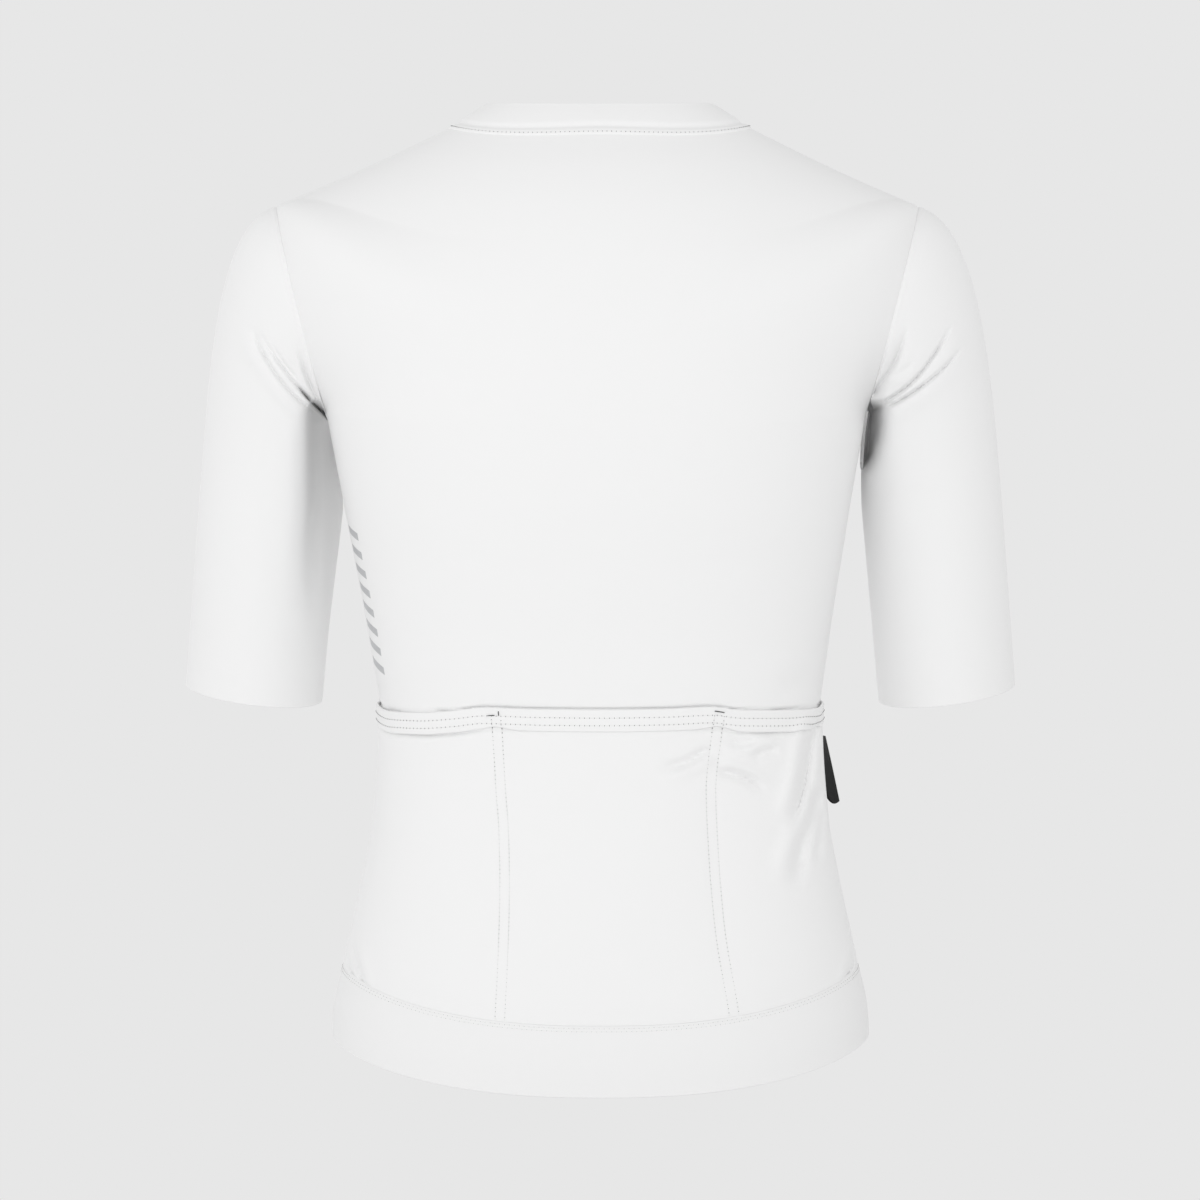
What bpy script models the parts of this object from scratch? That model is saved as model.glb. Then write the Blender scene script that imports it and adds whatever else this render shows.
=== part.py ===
"""Women's short-sleeved cycling jersey, filled out as if worn, with nobody in it.

Each cloth piece is a grid of points worked out from the section tables and the seam lines,
with a second skin one cloth thickness behind it. Neighbouring pieces share their seam points
and stand a small gap apart along the seam.

Lengths are millimetres here and turn into metres where a mesh is made. The origin is midway
between the two points where a shoulder seam meets the collar. +Z is up, the front faces -Y
and the wearer's left is +X.
"""
import math

import bmesh
import bpy
import numpy as np
from mathutils import Matrix, Vector

MM = 0.001

# ---- Cloth -------------------------------------------------------------------------------
CLOTH = 1.0            # wall thickness of every cloth piece
SEAM_GAP = 0.3         # gap along a seam, and under what lies on a panel
ROUNDNESS = 2.35       # exponent of the body's rings: 2 is an ellipse, more is squarer
SMOOTH_ANGLE = math.radians(40)
CORNER_LIKENESS = 0.9  # cosine between a piece's normal and the seam's, under which it is a corner

# ---- Body outline: half width of the side seam at each height -----------------------------
#              height  half width
SIDE_OUTLINE = ((-175, 167.5), (-205, 161.8), (-255, 152.8), (-304, 144.2), (-329, 140.4),
                (-354, 136.8), (-379, 135.9), (-428, 138.9), (-453, 143.6), (-503, 155.6),
                (-540, 164.6), (-560, 166.3))
#                height  depth behind the side seams, at the centre back
BACK_PROFILE = ((-8.5, 60), (-30, 77), (-55, 91), (-90, 103), (-130, 110), (-180, 112.5),
                (-230, 109), (-280, 100.5), (-330, 92.5), (-370, 90), (-410, 92),
                (-460, 99.5), (-510, 107), (-550, 110.5), (-600, 111))
#                 height  depth in front of the side seams, at the centre front
FRONT_PROFILE = ((-70, 80), (-90, 91), (-120, 103.5), (-160, 114), (-205, 119.5),
                 (-245, 118), (-290, 108.5), (-340, 98.5), (-380, 95.5), (-430, 98),
                 (-480, 103.5), (-560, 108))
#       height  sideways lean of the body, as it hangs a little to the wearer's left
LEAN = ((-600, 0), (-400, 0), (-300, 1.0), (-200, 2.4), (-110, 2.6), (-48, 1.8), (0, 0))

# ---- Seam heights ---------------------------------------------------------------------------
#                    side     back    front
HEM_SEAM = {"side": -516, "back": -547, "front": -503}
HEM_EDGE = {"side": -559.5, "back": -590, "front": -547}
POCKET_MOUTH = {"side": -352, "back": -357, "front": -352}
UNDERARM = {"side": -175, "back": -186, "front": -190}
SHOULDER = {"side": -48, "back": -74, "front": -118}
NECK = {"side": 0, "back": -8.5, "front": -70}

# ---- Armhole and shoulder seam --------------------------------------------------------------
SHOULDER_HALF_WIDTH = 199.0    # shoulder point
SHOULDER_FORWARD = 5.0         # shoulder point lies this far in front of the side seam
UNDERARM_HALF_WIDTH = 167.5
ARMHOLE_HALF_DEPTH = {"back": 52.0, "front": 50.0}
NECK_HALF_WIDTH = 93.6
SHOULDER_SEAM_DIP = 1.2        # the shoulder seam hangs this much under a straight line
SHOULDER_TURN = 30.0           # degrees by which a row leaves the shoulder point sideways
SHOULDER_TURN_FADE = 1.2       # power by which that angle fades towards the neck
FLARE_FADE = 3                 # a higher power keeps the flare at the armhole nearer to it
RIDGE_RISE = 21.3              # height at x = 0 of the shoulder line carried on over the neck
# Power by which a row's height falls from its edge to the centre: at the hem seam, the pocket
# mouth, the underarm and the shoulder, and then at the neck seam.
DROP_POWER = (1.8, 1.05, 1.2, 2.2)
NECK_POWER = {"back": 2.0, "front": 1.5}

# ---- Rows and columns of the panels' grids --------------------------------------------------
POCKET_ROWS = 8                # hem seam to pocket mouth
RIB_ROWS = 6                   # pocket mouth to underarm
ARMHOLE_ROWS = 12
SHOULDER_ROWS = 4
BACK_COLUMNS = 28
FRONT_COLUMNS = 13             # each front, side seam to zip

# ---- Collar and hem band --------------------------------------------------------------------
COLLAR_TOP = {"half_width": 70.8, "back": 46.0, "front": 66.0}
COLLAR_TOP_HEIGHT = {"side": 14.9, "back": 11.4, "front": -50.0}
COLLAR_ROWS = 4
COLLAR_CROWN = 0.8             # the collar bows out this much at half height
COLLAR_DROP_POWER = 1.8        # its free edge stays high near the sides and falls at the centre
HEM_BOTTOM = {"half_width": 166.3, "back": 111.0, "front": 108.0}
HEM_ROWS = 3
HEM_CROWN = 1.8
HEM_DROP_POWER = 1.75

# ---- Sleeves --------------------------------------------------------------------------------
CAP_ROWS = 12                  # armhole to the ring where the sleeve runs straight
TUBE_ROWS = 6                  # that ring to the cuff
SLEEVE_SLOPE = (0.086, -0.087, -1.0)     # the tube runs down, a little out and forward
TUBE_START = (207.8, -34.0, -235.0)      # centre of the first straight ring
TUBE_LENGTH = 115.5
TUBE_HALF_WIDTH = (43.9, 43.0)           # sideways, at the first ring and at the cuff
TUBE_HALF_DEPTH = (54.0, 50.0)           # front to back, at the same rings
CUFF_SAG = 3.5                           # the cuff hangs this much lower
CUFF_SAG_TURN = math.radians(125)        # at this turn from the outer side, behind and inside
#               outer  back  inner  front: how a line of the cap leaves the left armhole
CAP_START = {1: {"x": (115.0, 58.0, -3.0, 58.0),
                 "y": (-4.0, -8.0, -44.0, 0.0),
                 "z": (-25.0, -22.0, -42.0, -22.0)},
             -1: {"x": (115.0, 58.0, -7.0, 58.0),      # and the right one, mirrored
                  "y": (-4.0, -8.0, -44.0, 0.0),
                  "z": (-25.0, -22.0, -46.0, -22.0)}}
CAP_END = (250.0, 125.0, 62.0, 125.0)    # how strongly it heads down the tube at its end
CAP_ROW_CROWDING = 1.25                  # above 1 crowds the rows at the armhole

# Armpit folds: troughs that start beside the armpit and fade towards the outside of the arm.
#               inner x, z   outer x, z   bow   width  depth
ARMPIT_FOLDS = {
    1: ((167, -177, 213, -127, 5.0, 6.5, 4.0),
        (176, -180, 212, -146, 5.0, 6.0, 2.6)),
    -1: ((171, -174, 218, -120, -5.0, 6.5, 4.4),
         (174, -182, 224, -137, -5.0, 6.0, 3.6)),
}
FOLD_FADE = 0.2                # share of a fold's length over which each end fades

# ---- Pockets --------------------------------------------------------------------------------
POCKET_DIVIDERS = (60.0, -71.0)          # x of the two stitched lines between the pockets
POCKET_SLACK = 2.6             # how far the pocket cloth stands off between its seams
MOUTH_SLACK = 1.6              # the same at the mouth
BAND_HEIGHT = 12.0             # folded band along the mouth
# Pocket folds: troughs in the slack cloth of the pocket on the wearer's right.
#                upper x, z    lower x, z   bow  width  depth
POCKET_FOLDS = ((-134, -374, -114, -432, 5.0, 7.0, 2.2),
                (-134, -408, -117, -462, 4.0, 7.0, 1.8),
                (-75, -390, -96, -400, -2.0, 5.0, 1.2))

# ---- Side tag: a folded label in the side seam, twisted so that its lower end stands out ------
TAG_THICKNESS = 1.0
TAG_ROOT_HEIGHTS = (-376.0, -407.0)      # the sewn edge, top and bottom
TAG_TIP_TOP = (-139.4, -12.0, -376.8)    # the free edge lies forward at the top
TAG_TIP_BOTTOM = (-148.0, -5.0, -417.0)  # and stands out at the bottom
TAG_DROOP = 5.0                # the lower edge hangs this much under a straight line
TAG_ROWS = 6
TAG_COLUMNS = 4

# ---- Zip ------------------------------------------------------------------------------------
FRONT_OPENING = 4.0            # each front's edge stands this far from the centre
NEAR_ZIP = 1.0                 # a band's points within this of its edge keep their x
TAPE_HALF_WIDTH = 12.0
COIL_HALF_WIDTH = 3.0
COIL_STEP = 0.2                # width of the coil's slanted flank
COIL_RECESS = 0.2              # the coil lies this far below the cloth's outer side
SLIDER_DROP = 9.0              # slider centre below the collar's top edge
SLIDER_SIZE = (8.4, 10.5, 3.0)           # across, along the zip, out of it
STAPLE_HALF_LENGTH = 2.8       # the slider's staple, in which the pull tab hangs
STAPLE_HEIGHT = 2.7            # its bar's centre above the slider's face
STAPLE_RADIUS = 0.55
STAPLE_ROOT = 1.0              # its posts reach this far into the slider
PIN_HEIGHT = 1.1               # the tab's own bar above the slider's face
PIN_OFFSET = -1.0              # and below the slider's centre
PIN_RADIUS = 0.6
PIN_HALF_LENGTH = 2.45
BAR_VERTICES = 12
TAB_ARM = (1.1, 5.6, 1.1)      # width, length, thickness of each arm beside the staple
TAB_PLATE = (6.0, 19.0, 1.2)
PLATE_LAP = 0.6                # the plate laps over the arms' ends by this much
TAB_LEAN = math.radians(5)     # the tab leans in towards the cloth as it hangs

# ---- Colours (red, green, blue) and finish ---------------------------------------------------
WHITE_CLOTH = (0.89, 0.89, 0.89)
BAND_CLOTH = (0.87, 0.87, 0.87)
TAG_BLACK = (0.012, 0.012, 0.013)
ZIP_WHITE = (0.82, 0.82, 0.82)
CLOTH_ROUGHNESS = 0.85
PLASTIC_ROUGHNESS = 0.4


# ---- Small helpers --------------------------------------------------------------------------
def curve_through(table, at, column=1):
    """A column of a table at the given keys, on a smooth curve that never overshoots a row."""
    rows = np.array(sorted(table), float)
    key, value = rows[:, 0], rows[:, column]
    step = np.diff(key)
    slope = np.diff(value) / step
    tangent = np.zeros_like(value)
    rising = slope[1:] * slope[:-1] > 0
    near, far = (2 * step[1:] + step[:-1])[rising], (step[1:] + 2 * step[:-1])[rising]
    tangent[1:-1][rising] = (near + far) / (near / slope[:-1][rising] + far / slope[1:][rising])
    tangent[0], tangent[-1] = slope[0], slope[-1]
    at = np.clip(np.asarray(at, float), key[0], key[-1])
    k = np.clip(np.searchsorted(key, at) - 1, 0, len(step) - 1)
    t = (at - key[k]) / step[k]
    return (value[k] * (1 + 2 * t) * (1 - t) ** 2 + value[k + 1] * t * t * (3 - 2 * t)
            + step[k] * t * (1 - t) * (tangent[k] * (1 - t) - tangent[k + 1] * t))


def around(four, angle):
    """A value that passes through four given ones a quarter turn apart."""
    a, b, c, d = four
    return ((a + b + c + d) / 4 + (a - c) / 2 * np.cos(angle) + (b - d) / 2 * np.sin(angle)
            + (a - b + c - d) / 4 * np.cos(2 * angle))


def shoulder_line(x):
    """Height of the shoulder line at x: straight outside the neck, rounded off over it."""
    x = np.abs(x)
    slope = (NECK["side"] - SHOULDER["side"]) / (SHOULDER_HALF_WIDTH - NECK_HALF_WIDTH)
    return np.where(x > NECK_HALF_WIDTH, slope * (NECK_HALF_WIDTH - x),
                    RIDGE_RISE * (1 - (x / NECK_HALF_WIDTH) ** 2))


def unit(vectors):
    """Vectors scaled to length one."""
    return vectors / np.linalg.norm(vectors, axis=-1, keepdims=True)


# ---- The body's rows ------------------------------------------------------------------------
def body_rows(face):
    """The rows of the back ("back") or of the fronts ("front"), from hem seam to neck seam.

    Each row has its edge point on the side seam, armhole or shoulder seam, its height and
    depth at the centre, the angle at which its arc starts, the half width of the full arc, and
    how its height runs between.
    """
    sign = 1 if face == "back" else -1
    profile = BACK_PROFILE if face == "back" else FRONT_PROFILE
    stations = np.cumsum([0, POCKET_ROWS, RIB_ROWS, ARMHOLE_ROWS, SHOULDER_ROWS])
    row = np.arange(stations[-1] + 1)
    in_armhole = (row > stations[2]) & (row <= stations[3])
    in_shoulder = row > stations[3]

    seams = (HEM_SEAM, POCKET_MOUTH, UNDERARM, SHOULDER, NECK)
    centre_height = curve_through([(s, seam[face]) for s, seam in zip(stations, seams)], row)
    edge = np.zeros((len(row), 3))
    edge[:, 2] = np.interp(row, stations[:3], [seam["side"] for seam in seams[:3]])
    edge[:, 0] = curve_through(SIDE_OUTLINE, edge[:, 2])

    turn = np.pi * (1 - (row[in_armhole] - stations[2]) / ARMHOLE_ROWS)
    edge[in_armhole] = armhole_point(turn, face)

    along = (row[in_shoulder] - stations[3]) / SHOULDER_ROWS
    edge[in_shoulder, 0] = SHOULDER_HALF_WIDTH + along * (NECK_HALF_WIDTH - SHOULDER_HALF_WIDTH)
    edge[in_shoulder, 1] = -SHOULDER_FORWARD * (1 - along)
    edge[in_shoulder, 2] = SHOULDER["side"] * (1 - along) - SHOULDER_SEAM_DIP * np.sin(np.pi * along)

    centre_depth = sign * curve_through(profile, centre_height)
    start = np.arcsin(np.clip(edge[:, 1] / centre_depth, 0, 1) ** (ROUNDNESS / 2))
    upward = (1 - turn / np.pi) ** 2
    start[in_armhole] += (math.radians(SHOULDER_TURN) - start[in_armhole]) * upward
    start[in_shoulder] = math.radians(SHOULDER_TURN) * (1 - along) ** SHOULDER_TURN_FADE
    reach = edge[:, 0] / np.cos(start) ** (2 / ROUNDNESS)
    shoulder_reach = SHOULDER_HALF_WIDTH / math.cos(math.radians(SHOULDER_TURN)) ** (2 / ROUNDNESS)
    growth = SIDE_OUTLINE[:2] + ((SHOULDER["side"], shoulder_reach),)
    reach[in_armhole] = curve_through(growth, edge[in_armhole, 2])
    ridge_share = np.zeros(len(row))
    ridge_share[in_armhole] = np.cos(turn / 2) ** 4
    ridge_share[in_shoulder] = 1
    powers = DROP_POWER + (NECK_POWER[face],)
    drop_power = curve_through(list(zip(stations, powers)), row)
    return {"edge": edge, "height": centre_height, "depth": centre_depth, "start": start,
            "reach": reach, "ridge_share": ridge_share, "drop_power": drop_power}


def armhole_point(turn, face):
    """Point of the left armhole: turn 0 is the shoulder point, pi is the underarm."""
    middle = (SHOULDER["side"] + UNDERARM["side"]) / 2
    half_height = (SHOULDER["side"] - UNDERARM["side"]) / 2
    sign = 1 if face == "back" else -1
    point = np.zeros(np.shape(turn) + (3,))
    point[..., 2] = middle + half_height * np.cos(turn)
    share = (point[..., 2] - UNDERARM["side"]) / (2 * half_height)
    point[..., 0] = UNDERARM_HALF_WIDTH + share * (SHOULDER_HALF_WIDTH - UNDERARM_HALF_WIDTH)
    point[..., 1] = (-SHOULDER_FORWARD * (1 + np.cos(turn)) / 2
                     + sign * ARMHOLE_HALF_DEPTH[face] * np.sin(turn))
    return point


def body_grid(face, columns, opening=0.0):
    """Left half of the back or of the fronts, from the edge to the centre or the zip.

    A row is an arc of a superellipse that ends at its centre point, bent near its start so
    that it meets its edge point. Its height follows the shoulder line near the shoulder and
    the row's own two heights elsewhere.
    """
    rows = body_rows(face)
    edge, start, reach = rows["edge"], rows["start"][:, None], rows["reach"][:, None]
    end = np.arccos((opening / reach) ** (ROUNDNESS / 2))
    along = np.linspace(0, 1, columns + 1)
    angle = start + (end - start) * along
    x = reach * np.cos(angle) ** (2 / ROUNDNESS)
    x += (edge[:, :1] - x[:, :1]) * (1 - along) ** FLARE_FADE
    low = np.sin(start) ** (2 / ROUNDNESS)
    share = (np.sin(angle) ** (2 / ROUNDNESS) - low) / (1 - low)
    y = edge[:, 1:2] + (rows["depth"][:, None] - edge[:, 1:2]) * share
    ridge = rows["ridge_share"][:, None]
    rise = ridge * (shoulder_line(x) - shoulder_line(edge[:, :1]))
    full_rise = ridge * (shoulder_line(0.0) - shoulder_line(edge[:, :1]))
    fall = rows["height"][:, None] - edge[:, 2:3] - full_rise
    z = edge[:, 2:3] + rise + fall * share ** rows["drop_power"][:, None]
    return np.stack([x, y, z], axis=-1)


def mirrored(grid):
    """The other side's grid, in the same order of points."""
    return grid * (-1, 1, 1)


def leaned(grid):
    """A grid moved sideways by the body's lean at each point's height."""
    grid = grid.copy()
    grid[..., 0] += curve_through(LEAN, grid[..., 2])
    return grid


# ---- Bands that close the neck and the hem ---------------------------------------------------
def ring_of(front, back):
    """One row's points from the left of the zip round the back to its right.

    front is a row of the left front and back one of the whole back, both from the left seam.
    """
    right = mirrored(front)
    return np.concatenate([front[::-1], back[1:-1], right])


def arc_shares(ring, half_width):
    """How far each point of a ring is from the side (0) to the centre line (1)."""
    across = np.clip(np.abs(ring[:, 0]) / half_width, 0, 1)
    return (1 - across ** ROUNDNESS) ** (1 / ROUNDNESS)


def band_grid(seam_ring, seam_half_width, edge_sizes, edge_heights, rows, crown, drop_power):
    """A band from a seam ring to its free edge, bowed out a little between the two."""
    across = seam_ring[:, 0] / seam_half_width
    share = arc_shares(seam_ring, seam_half_width)
    behind = seam_ring[:, 1] > 0
    edge = np.zeros_like(seam_ring)
    edge[:, 0] = edge_sizes["half_width"] * across
    edge[:, 1] = np.where(behind, edge_sizes["back"], -edge_sizes["front"]) * share
    fall = np.where(behind, edge_heights["back"], edge_heights["front"]) - edge_heights["side"]
    edge[:, 2] = edge_heights["side"] + fall * share ** drop_power
    centre = np.abs(across) * seam_half_width < FRONT_OPENING + NEAR_ZIP
    front_centre = centre & ~behind
    edge[front_centre, 0] = seam_ring[front_centre, 0]
    along = np.linspace(0, 1, rows + 1)[:, None, None]
    grid = seam_ring + (edge - seam_ring) * along
    outward = unit(seam_ring * (1, 1, 0))
    return grid + outward * crown * np.sin(np.pi * along)


# ---- Sleeve ---------------------------------------------------------------------------------
def sleeve_grid(side, armhole):
    """A sleeve from its armhole ring to the cuff.

    The cap runs from the armhole to the tube's first ring on curves that start in the
    CAP_START direction and end along the tube, and the tube is a row of ellipses.
    """
    turns = np.linspace(0, 2 * np.pi, len(armhole), endpoint=False)
    axis = unit(np.array(SLEEVE_SLOPE))
    outward = unit(np.array((1.0, 0.0, SLEEVE_SLOPE[0])))
    backward = unit(np.array((0.0, 1.0, SLEEVE_SLOPE[1])))

    def tube_ring(share):
        width = np.interp(share, (0, 1), TUBE_HALF_WIDTH)
        depth = np.interp(share, (0, 1), TUBE_HALF_DEPTH)
        centre = np.array(TUBE_START) + axis * TUBE_LENGTH * share
        ring = (centre + np.cos(turns)[:, None] * width * outward
                + np.sin(turns)[:, None] * depth * backward)
        ring[:, 2] -= CUFF_SAG * share * np.cos(turns - CUFF_SAG_TURN)
        return ring

    first = tube_ring(0.0)
    leave = np.stack([around(CAP_START[side][name], turns) for name in "xyz"], axis=-1)
    arrive = axis * around(CAP_END, turns)[:, None]
    base = armhole * (side, 1, 1)
    cap = []
    for t in np.linspace(0, 1, CAP_ROWS + 1)[:-1] ** CAP_ROW_CROWDING:
        cap.append(base * (1 + 2 * t) * (1 - t) ** 2 + first * t * t * (3 - 2 * t)
                   + leave * t * (1 - t) ** 2 - arrive * t * t * (1 - t))
    tube = [tube_ring(share) for share in np.linspace(0, 1, TUBE_ROWS + 1)]
    return np.array(cap + tube) * (side, 1, 1)


# ---- Folds ----------------------------------------------------------------------------------
def trough_depth(points, folds):
    """Depth of a set of folds at each point, seen from behind.

    A fold follows a bowed line in x and z. Its depth falls off as a bell across the line and
    fades at both ends.
    """
    depth = np.zeros(points.shape[:-1])
    for x0, z0, x1, z1, bow, width, deepest in folds:
        start, end = np.array((x0, z0)), np.array((x1, z1))
        length = np.linalg.norm(end - start)
        along_way = (end - start) / length
        across_way = np.array((-along_way[1], along_way[0]))
        offset = points[..., (0, 2)] - start
        along = offset @ along_way / length
        across = offset @ across_way - bow * np.sin(np.pi * np.clip(along, 0, 1))
        fade = np.clip(np.minimum(along, 1 - along) / FOLD_FADE, 0, 1)
        bell = np.exp(-(across / width) ** 2)
        depth += deepest * bell * fade * fade * (3 - 2 * fade)
    return depth


# ---- Cloth walls ----------------------------------------------------------------------------
def grid_normals(grid, closed):
    """Outward normal at each point of a grid whose rows run up and columns to the right."""
    if closed:
        wide = np.concatenate([grid[:, -1:], grid, grid[:, :1]], axis=1)
        across = (wide[:, 2:] - wide[:, :-2])
    else:
        across = np.gradient(grid, axis=1)
    return unit(np.cross(across, np.gradient(grid, axis=0)))


def shared_normals(pieces):
    """Normals of all pieces, averaged where pieces meet at a seam point.

    Where they meet in a sharp inner corner, as in the armpit, each keeps its own.
    """
    sums = {}
    for grid, normals in pieces:
        for point, normal in zip(grid.reshape(-1, 3), normals.reshape(-1, 3)):
            key = tuple(np.round(point, 3) + 0.0)
            sums[key] = sums.get(key, 0) + normal
    result = []
    for grid, normals in pieces:
        keys = [tuple(np.round(point, 3) + 0.0) for point in grid.reshape(-1, 3)]
        shared = unit(np.array([sums[key] for key in keys])).reshape(grid.shape)
        alike = (shared * normals).sum(axis=-1, keepdims=True) > CORNER_LIKENESS
        result.append(np.where(alike, shared, normals))
    return result


def seam_inward(edge, neighbour):
    """Direction from an edge into its piece, square to the edge and along the cloth."""
    along = unit(np.gradient(edge, axis=0))
    way = neighbour - edge
    return unit(way - (way * along).sum(axis=-1, keepdims=True) * along)


def trimmed(grid, closed, edges):
    """A grid with the named edges drawn back by half a seam gap along the cloth."""
    result = grid.copy()
    half = SEAM_GAP / 2
    if "first_row" in edges:
        result[0] += half * seam_inward(grid[0], grid[1])
    if "last_row" in edges:
        result[-1] += half * seam_inward(grid[-1], grid[-2])
    if "columns" in edges and not closed:
        result[:, 0] += half * seam_inward(grid[:, 0], grid[:, 1])
        result[:, -1] += half * seam_inward(grid[:, -1], grid[:, -2])
    return result


def wall_faces(rows, columns, closed):
    """Quads of a wall: outer skin, inner skin and the rims, for a grid of points."""
    index = np.arange(rows * columns).reshape(rows, columns)
    if closed:
        index = np.concatenate([index, index[:, :1]], axis=1)
    inner = index + rows * columns
    a, b, c, d = index[:-1, :-1], index[:-1, 1:], index[1:, 1:], index[1:, :-1]
    outer_skin = np.stack([a, b, c, d], axis=-1).reshape(-1, 4)
    inner_skin = (outer_skin + rows * columns)[:, ::-1]
    loops = [(index[0], inner[0]), (index[-1][::-1], inner[-1][::-1])]
    if not closed:
        loops += [(index[::-1, 0], inner[::-1, 0]), (index[:, -1], inner[:, -1])]
    rims = [np.stack([o[1:], o[:-1], i[:-1], i[1:]], axis=-1) for o, i in loops]
    return np.concatenate([outer_skin, inner_skin] + rims)


def add_object(name, vertices, faces, material, collection):
    """A smooth-shaded object from points in millimetres."""
    mesh = bpy.data.meshes.new(name)
    mesh.from_pydata((np.asarray(vertices) * MM).tolist(), [], np.asarray(faces).tolist())
    mesh.validate()
    solid = bmesh.new()
    solid.from_mesh(mesh)
    bmesh.ops.recalc_face_normals(solid, faces=solid.faces)
    solid.to_mesh(mesh)
    solid.free()
    mesh.shade_smooth()
    mesh.set_sharp_from_angle(angle=SMOOTH_ANGLE)
    mesh.materials.append(material)
    item = bpy.data.objects.new(name, mesh)
    collection.objects.link(item)
    return item


def add_wall(name, outer, normals, material, collection, closed=False, thickness=CLOTH):
    """A cloth wall whose outer skin is the grid and whose inner skin lies behind it."""
    inner = outer - normals * thickness
    vertices = np.concatenate([outer.reshape(-1, 3), inner.reshape(-1, 3)])
    faces = wall_faces(outer.shape[0], outer.shape[1], closed)
    return add_object(name, vertices, faces, material, collection)


# ---- Cloth pieces ---------------------------------------------------------------------------
def make_grids():
    """The grids of every sewn panel, before they are drawn back from their seams."""
    half_back = body_grid("back", BACK_COLUMNS // 2)
    back = np.concatenate([half_back, mirrored(half_back)[:, -2::-1]], axis=1)
    front = body_grid("front", FRONT_COLUMNS, FRONT_OPENING)
    hem_ring = ring_of(front[0], back[0])
    neck_ring = ring_of(front[-1], back[-1])
    hem = band_grid(hem_ring, hem_ring[:, 0].max(), HEM_BOTTOM, HEM_EDGE, HEM_ROWS,
                    HEM_CROWN, HEM_DROP_POWER)
    collar = band_grid(neck_ring, NECK_HALF_WIDTH, COLLAR_TOP, COLLAR_TOP_HEIGHT, COLLAR_ROWS,
                       COLLAR_CROWN, COLLAR_DROP_POWER)
    return {"back": back, "front": front, "hem": hem, "collar": collar}


def armhole_ring():
    """The left armhole from the shoulder point down the back and up the front."""
    down = np.linspace(0, np.pi, ARMHOLE_ROWS + 1)
    back = armhole_point(down, "back")
    front = armhole_point(down[::-1], "front")
    return np.concatenate([back, front[1:-1]])


def make_cloth(cloth, band_cloth, collection):
    """Back, fronts, sleeves, collar and hem band, and what the later pieces lie on."""
    grids = make_grids()
    back = leaned(grids["back"])
    left = leaned(grids["front"])
    right = leaned(mirrored(grids["front"]))[:, ::-1]
    hem, collar = leaned(grids["hem"])[::-1], leaned(grids["collar"])
    ring = armhole_ring()
    sleeves = {}
    for side in (1, -1):
        sleeve = sleeve_grid(side, leaned(ring * (side, 1, 1)))
        sleeves[side] = sleeve[::-1] if side == 1 else sleeve[::-1, ::-1]

    # The columns run to the right as seen from outside, so that all normals point out.
    order = {
        "back_panel": (back, False, ("first_row", "last_row", "columns")),
        "front_left": (left[:, ::-1], False, ("first_row", "last_row", "columns")),
        "front_right": (right[:, ::-1], False, ("first_row", "last_row", "columns")),
        "collar": (collar, False, ("first_row",)),
        "hem_band": (hem, False, ("last_row",)),
        "sleeve_left": (sleeves[1], True, ("last_row",)),
        "sleeve_right": (sleeves[-1], True, ("last_row",)),
    }
    names = list(order)
    flat = [(order[name][0], grid_normals(order[name][0], order[name][1])) for name in names]
    normals = dict(zip(names, shared_normals(flat)))
    outer = {}
    for name in names:
        grid, closed, edges = order[name]
        outer[name] = trimmed(grid, closed, edges)
        if name.startswith("sleeve"):
            folds = ARMPIT_FOLDS[1 if name.endswith("left") else -1]
            signs = (1 if name.endswith("left") else -1, 1, 1)
            depth = trough_depth(grid * signs, folds) * (normals[name][..., 1] > 0.1)
            outer[name] = outer[name] - normals[name] * depth[..., None]
        finish = band_cloth if name == "hem_band" else cloth
        add_wall(name, outer[name], normals[name], finish, collection, closed)
    return outer, normals


def make_pockets(outer, normals, cloth, collection):
    """The pocket panel over the lower back and the folded band along its mouth."""
    base = outer["back_panel"][:POCKET_ROWS + 1]
    out = normals["back_panel"][:POCKET_ROWS + 1]
    across = base[..., 0]
    height = np.linspace(0, 1, POCKET_ROWS + 1)[:, None]
    edges = np.array((base[0, 0, 0], *POCKET_DIVIDERS, base[0, -1, 0]))
    pocket = np.clip(np.searchsorted(-edges, -across) - 1, 0, len(edges) - 2)
    width_share = (edges[pocket] - across) / (edges[pocket] - edges[pocket + 1])
    swell = np.sin(np.pi * np.clip(width_share, 0, 1))
    slack = swell * (POCKET_SLACK * np.sin(np.pi * height) + MOUTH_SLACK * height ** 3)
    slack = np.maximum(slack - trough_depth(base, POCKET_FOLDS) * swell, 0)
    panel = base + out * (CLOTH + SEAM_GAP + slack)[..., None]

    # The band is the panel's last strip, cut off a seam gap above the rest.
    step = np.linalg.norm(panel[-1] - panel[-2], axis=-1, keepdims=True)
    cut = (BAND_HEIGHT + np.array([SEAM_GAP, 0])[:, None, None]) / step
    seam = panel[-1] + (panel[-2] - panel[-1]) * cut
    seam_out = unit(out[-1] + (out[-2] - out[-1]) * cut)
    band = np.array([seam[1], panel[-1]])
    add_wall("pocket_top_band", band, np.array([seam_out[1], out[-1]]), cloth, collection)
    panel = np.concatenate([panel[:-1], seam[:1]])
    out = np.concatenate([out[:-1], seam_out[:1]])
    add_wall("pocket_panel", panel, out, cloth, collection)


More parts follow.
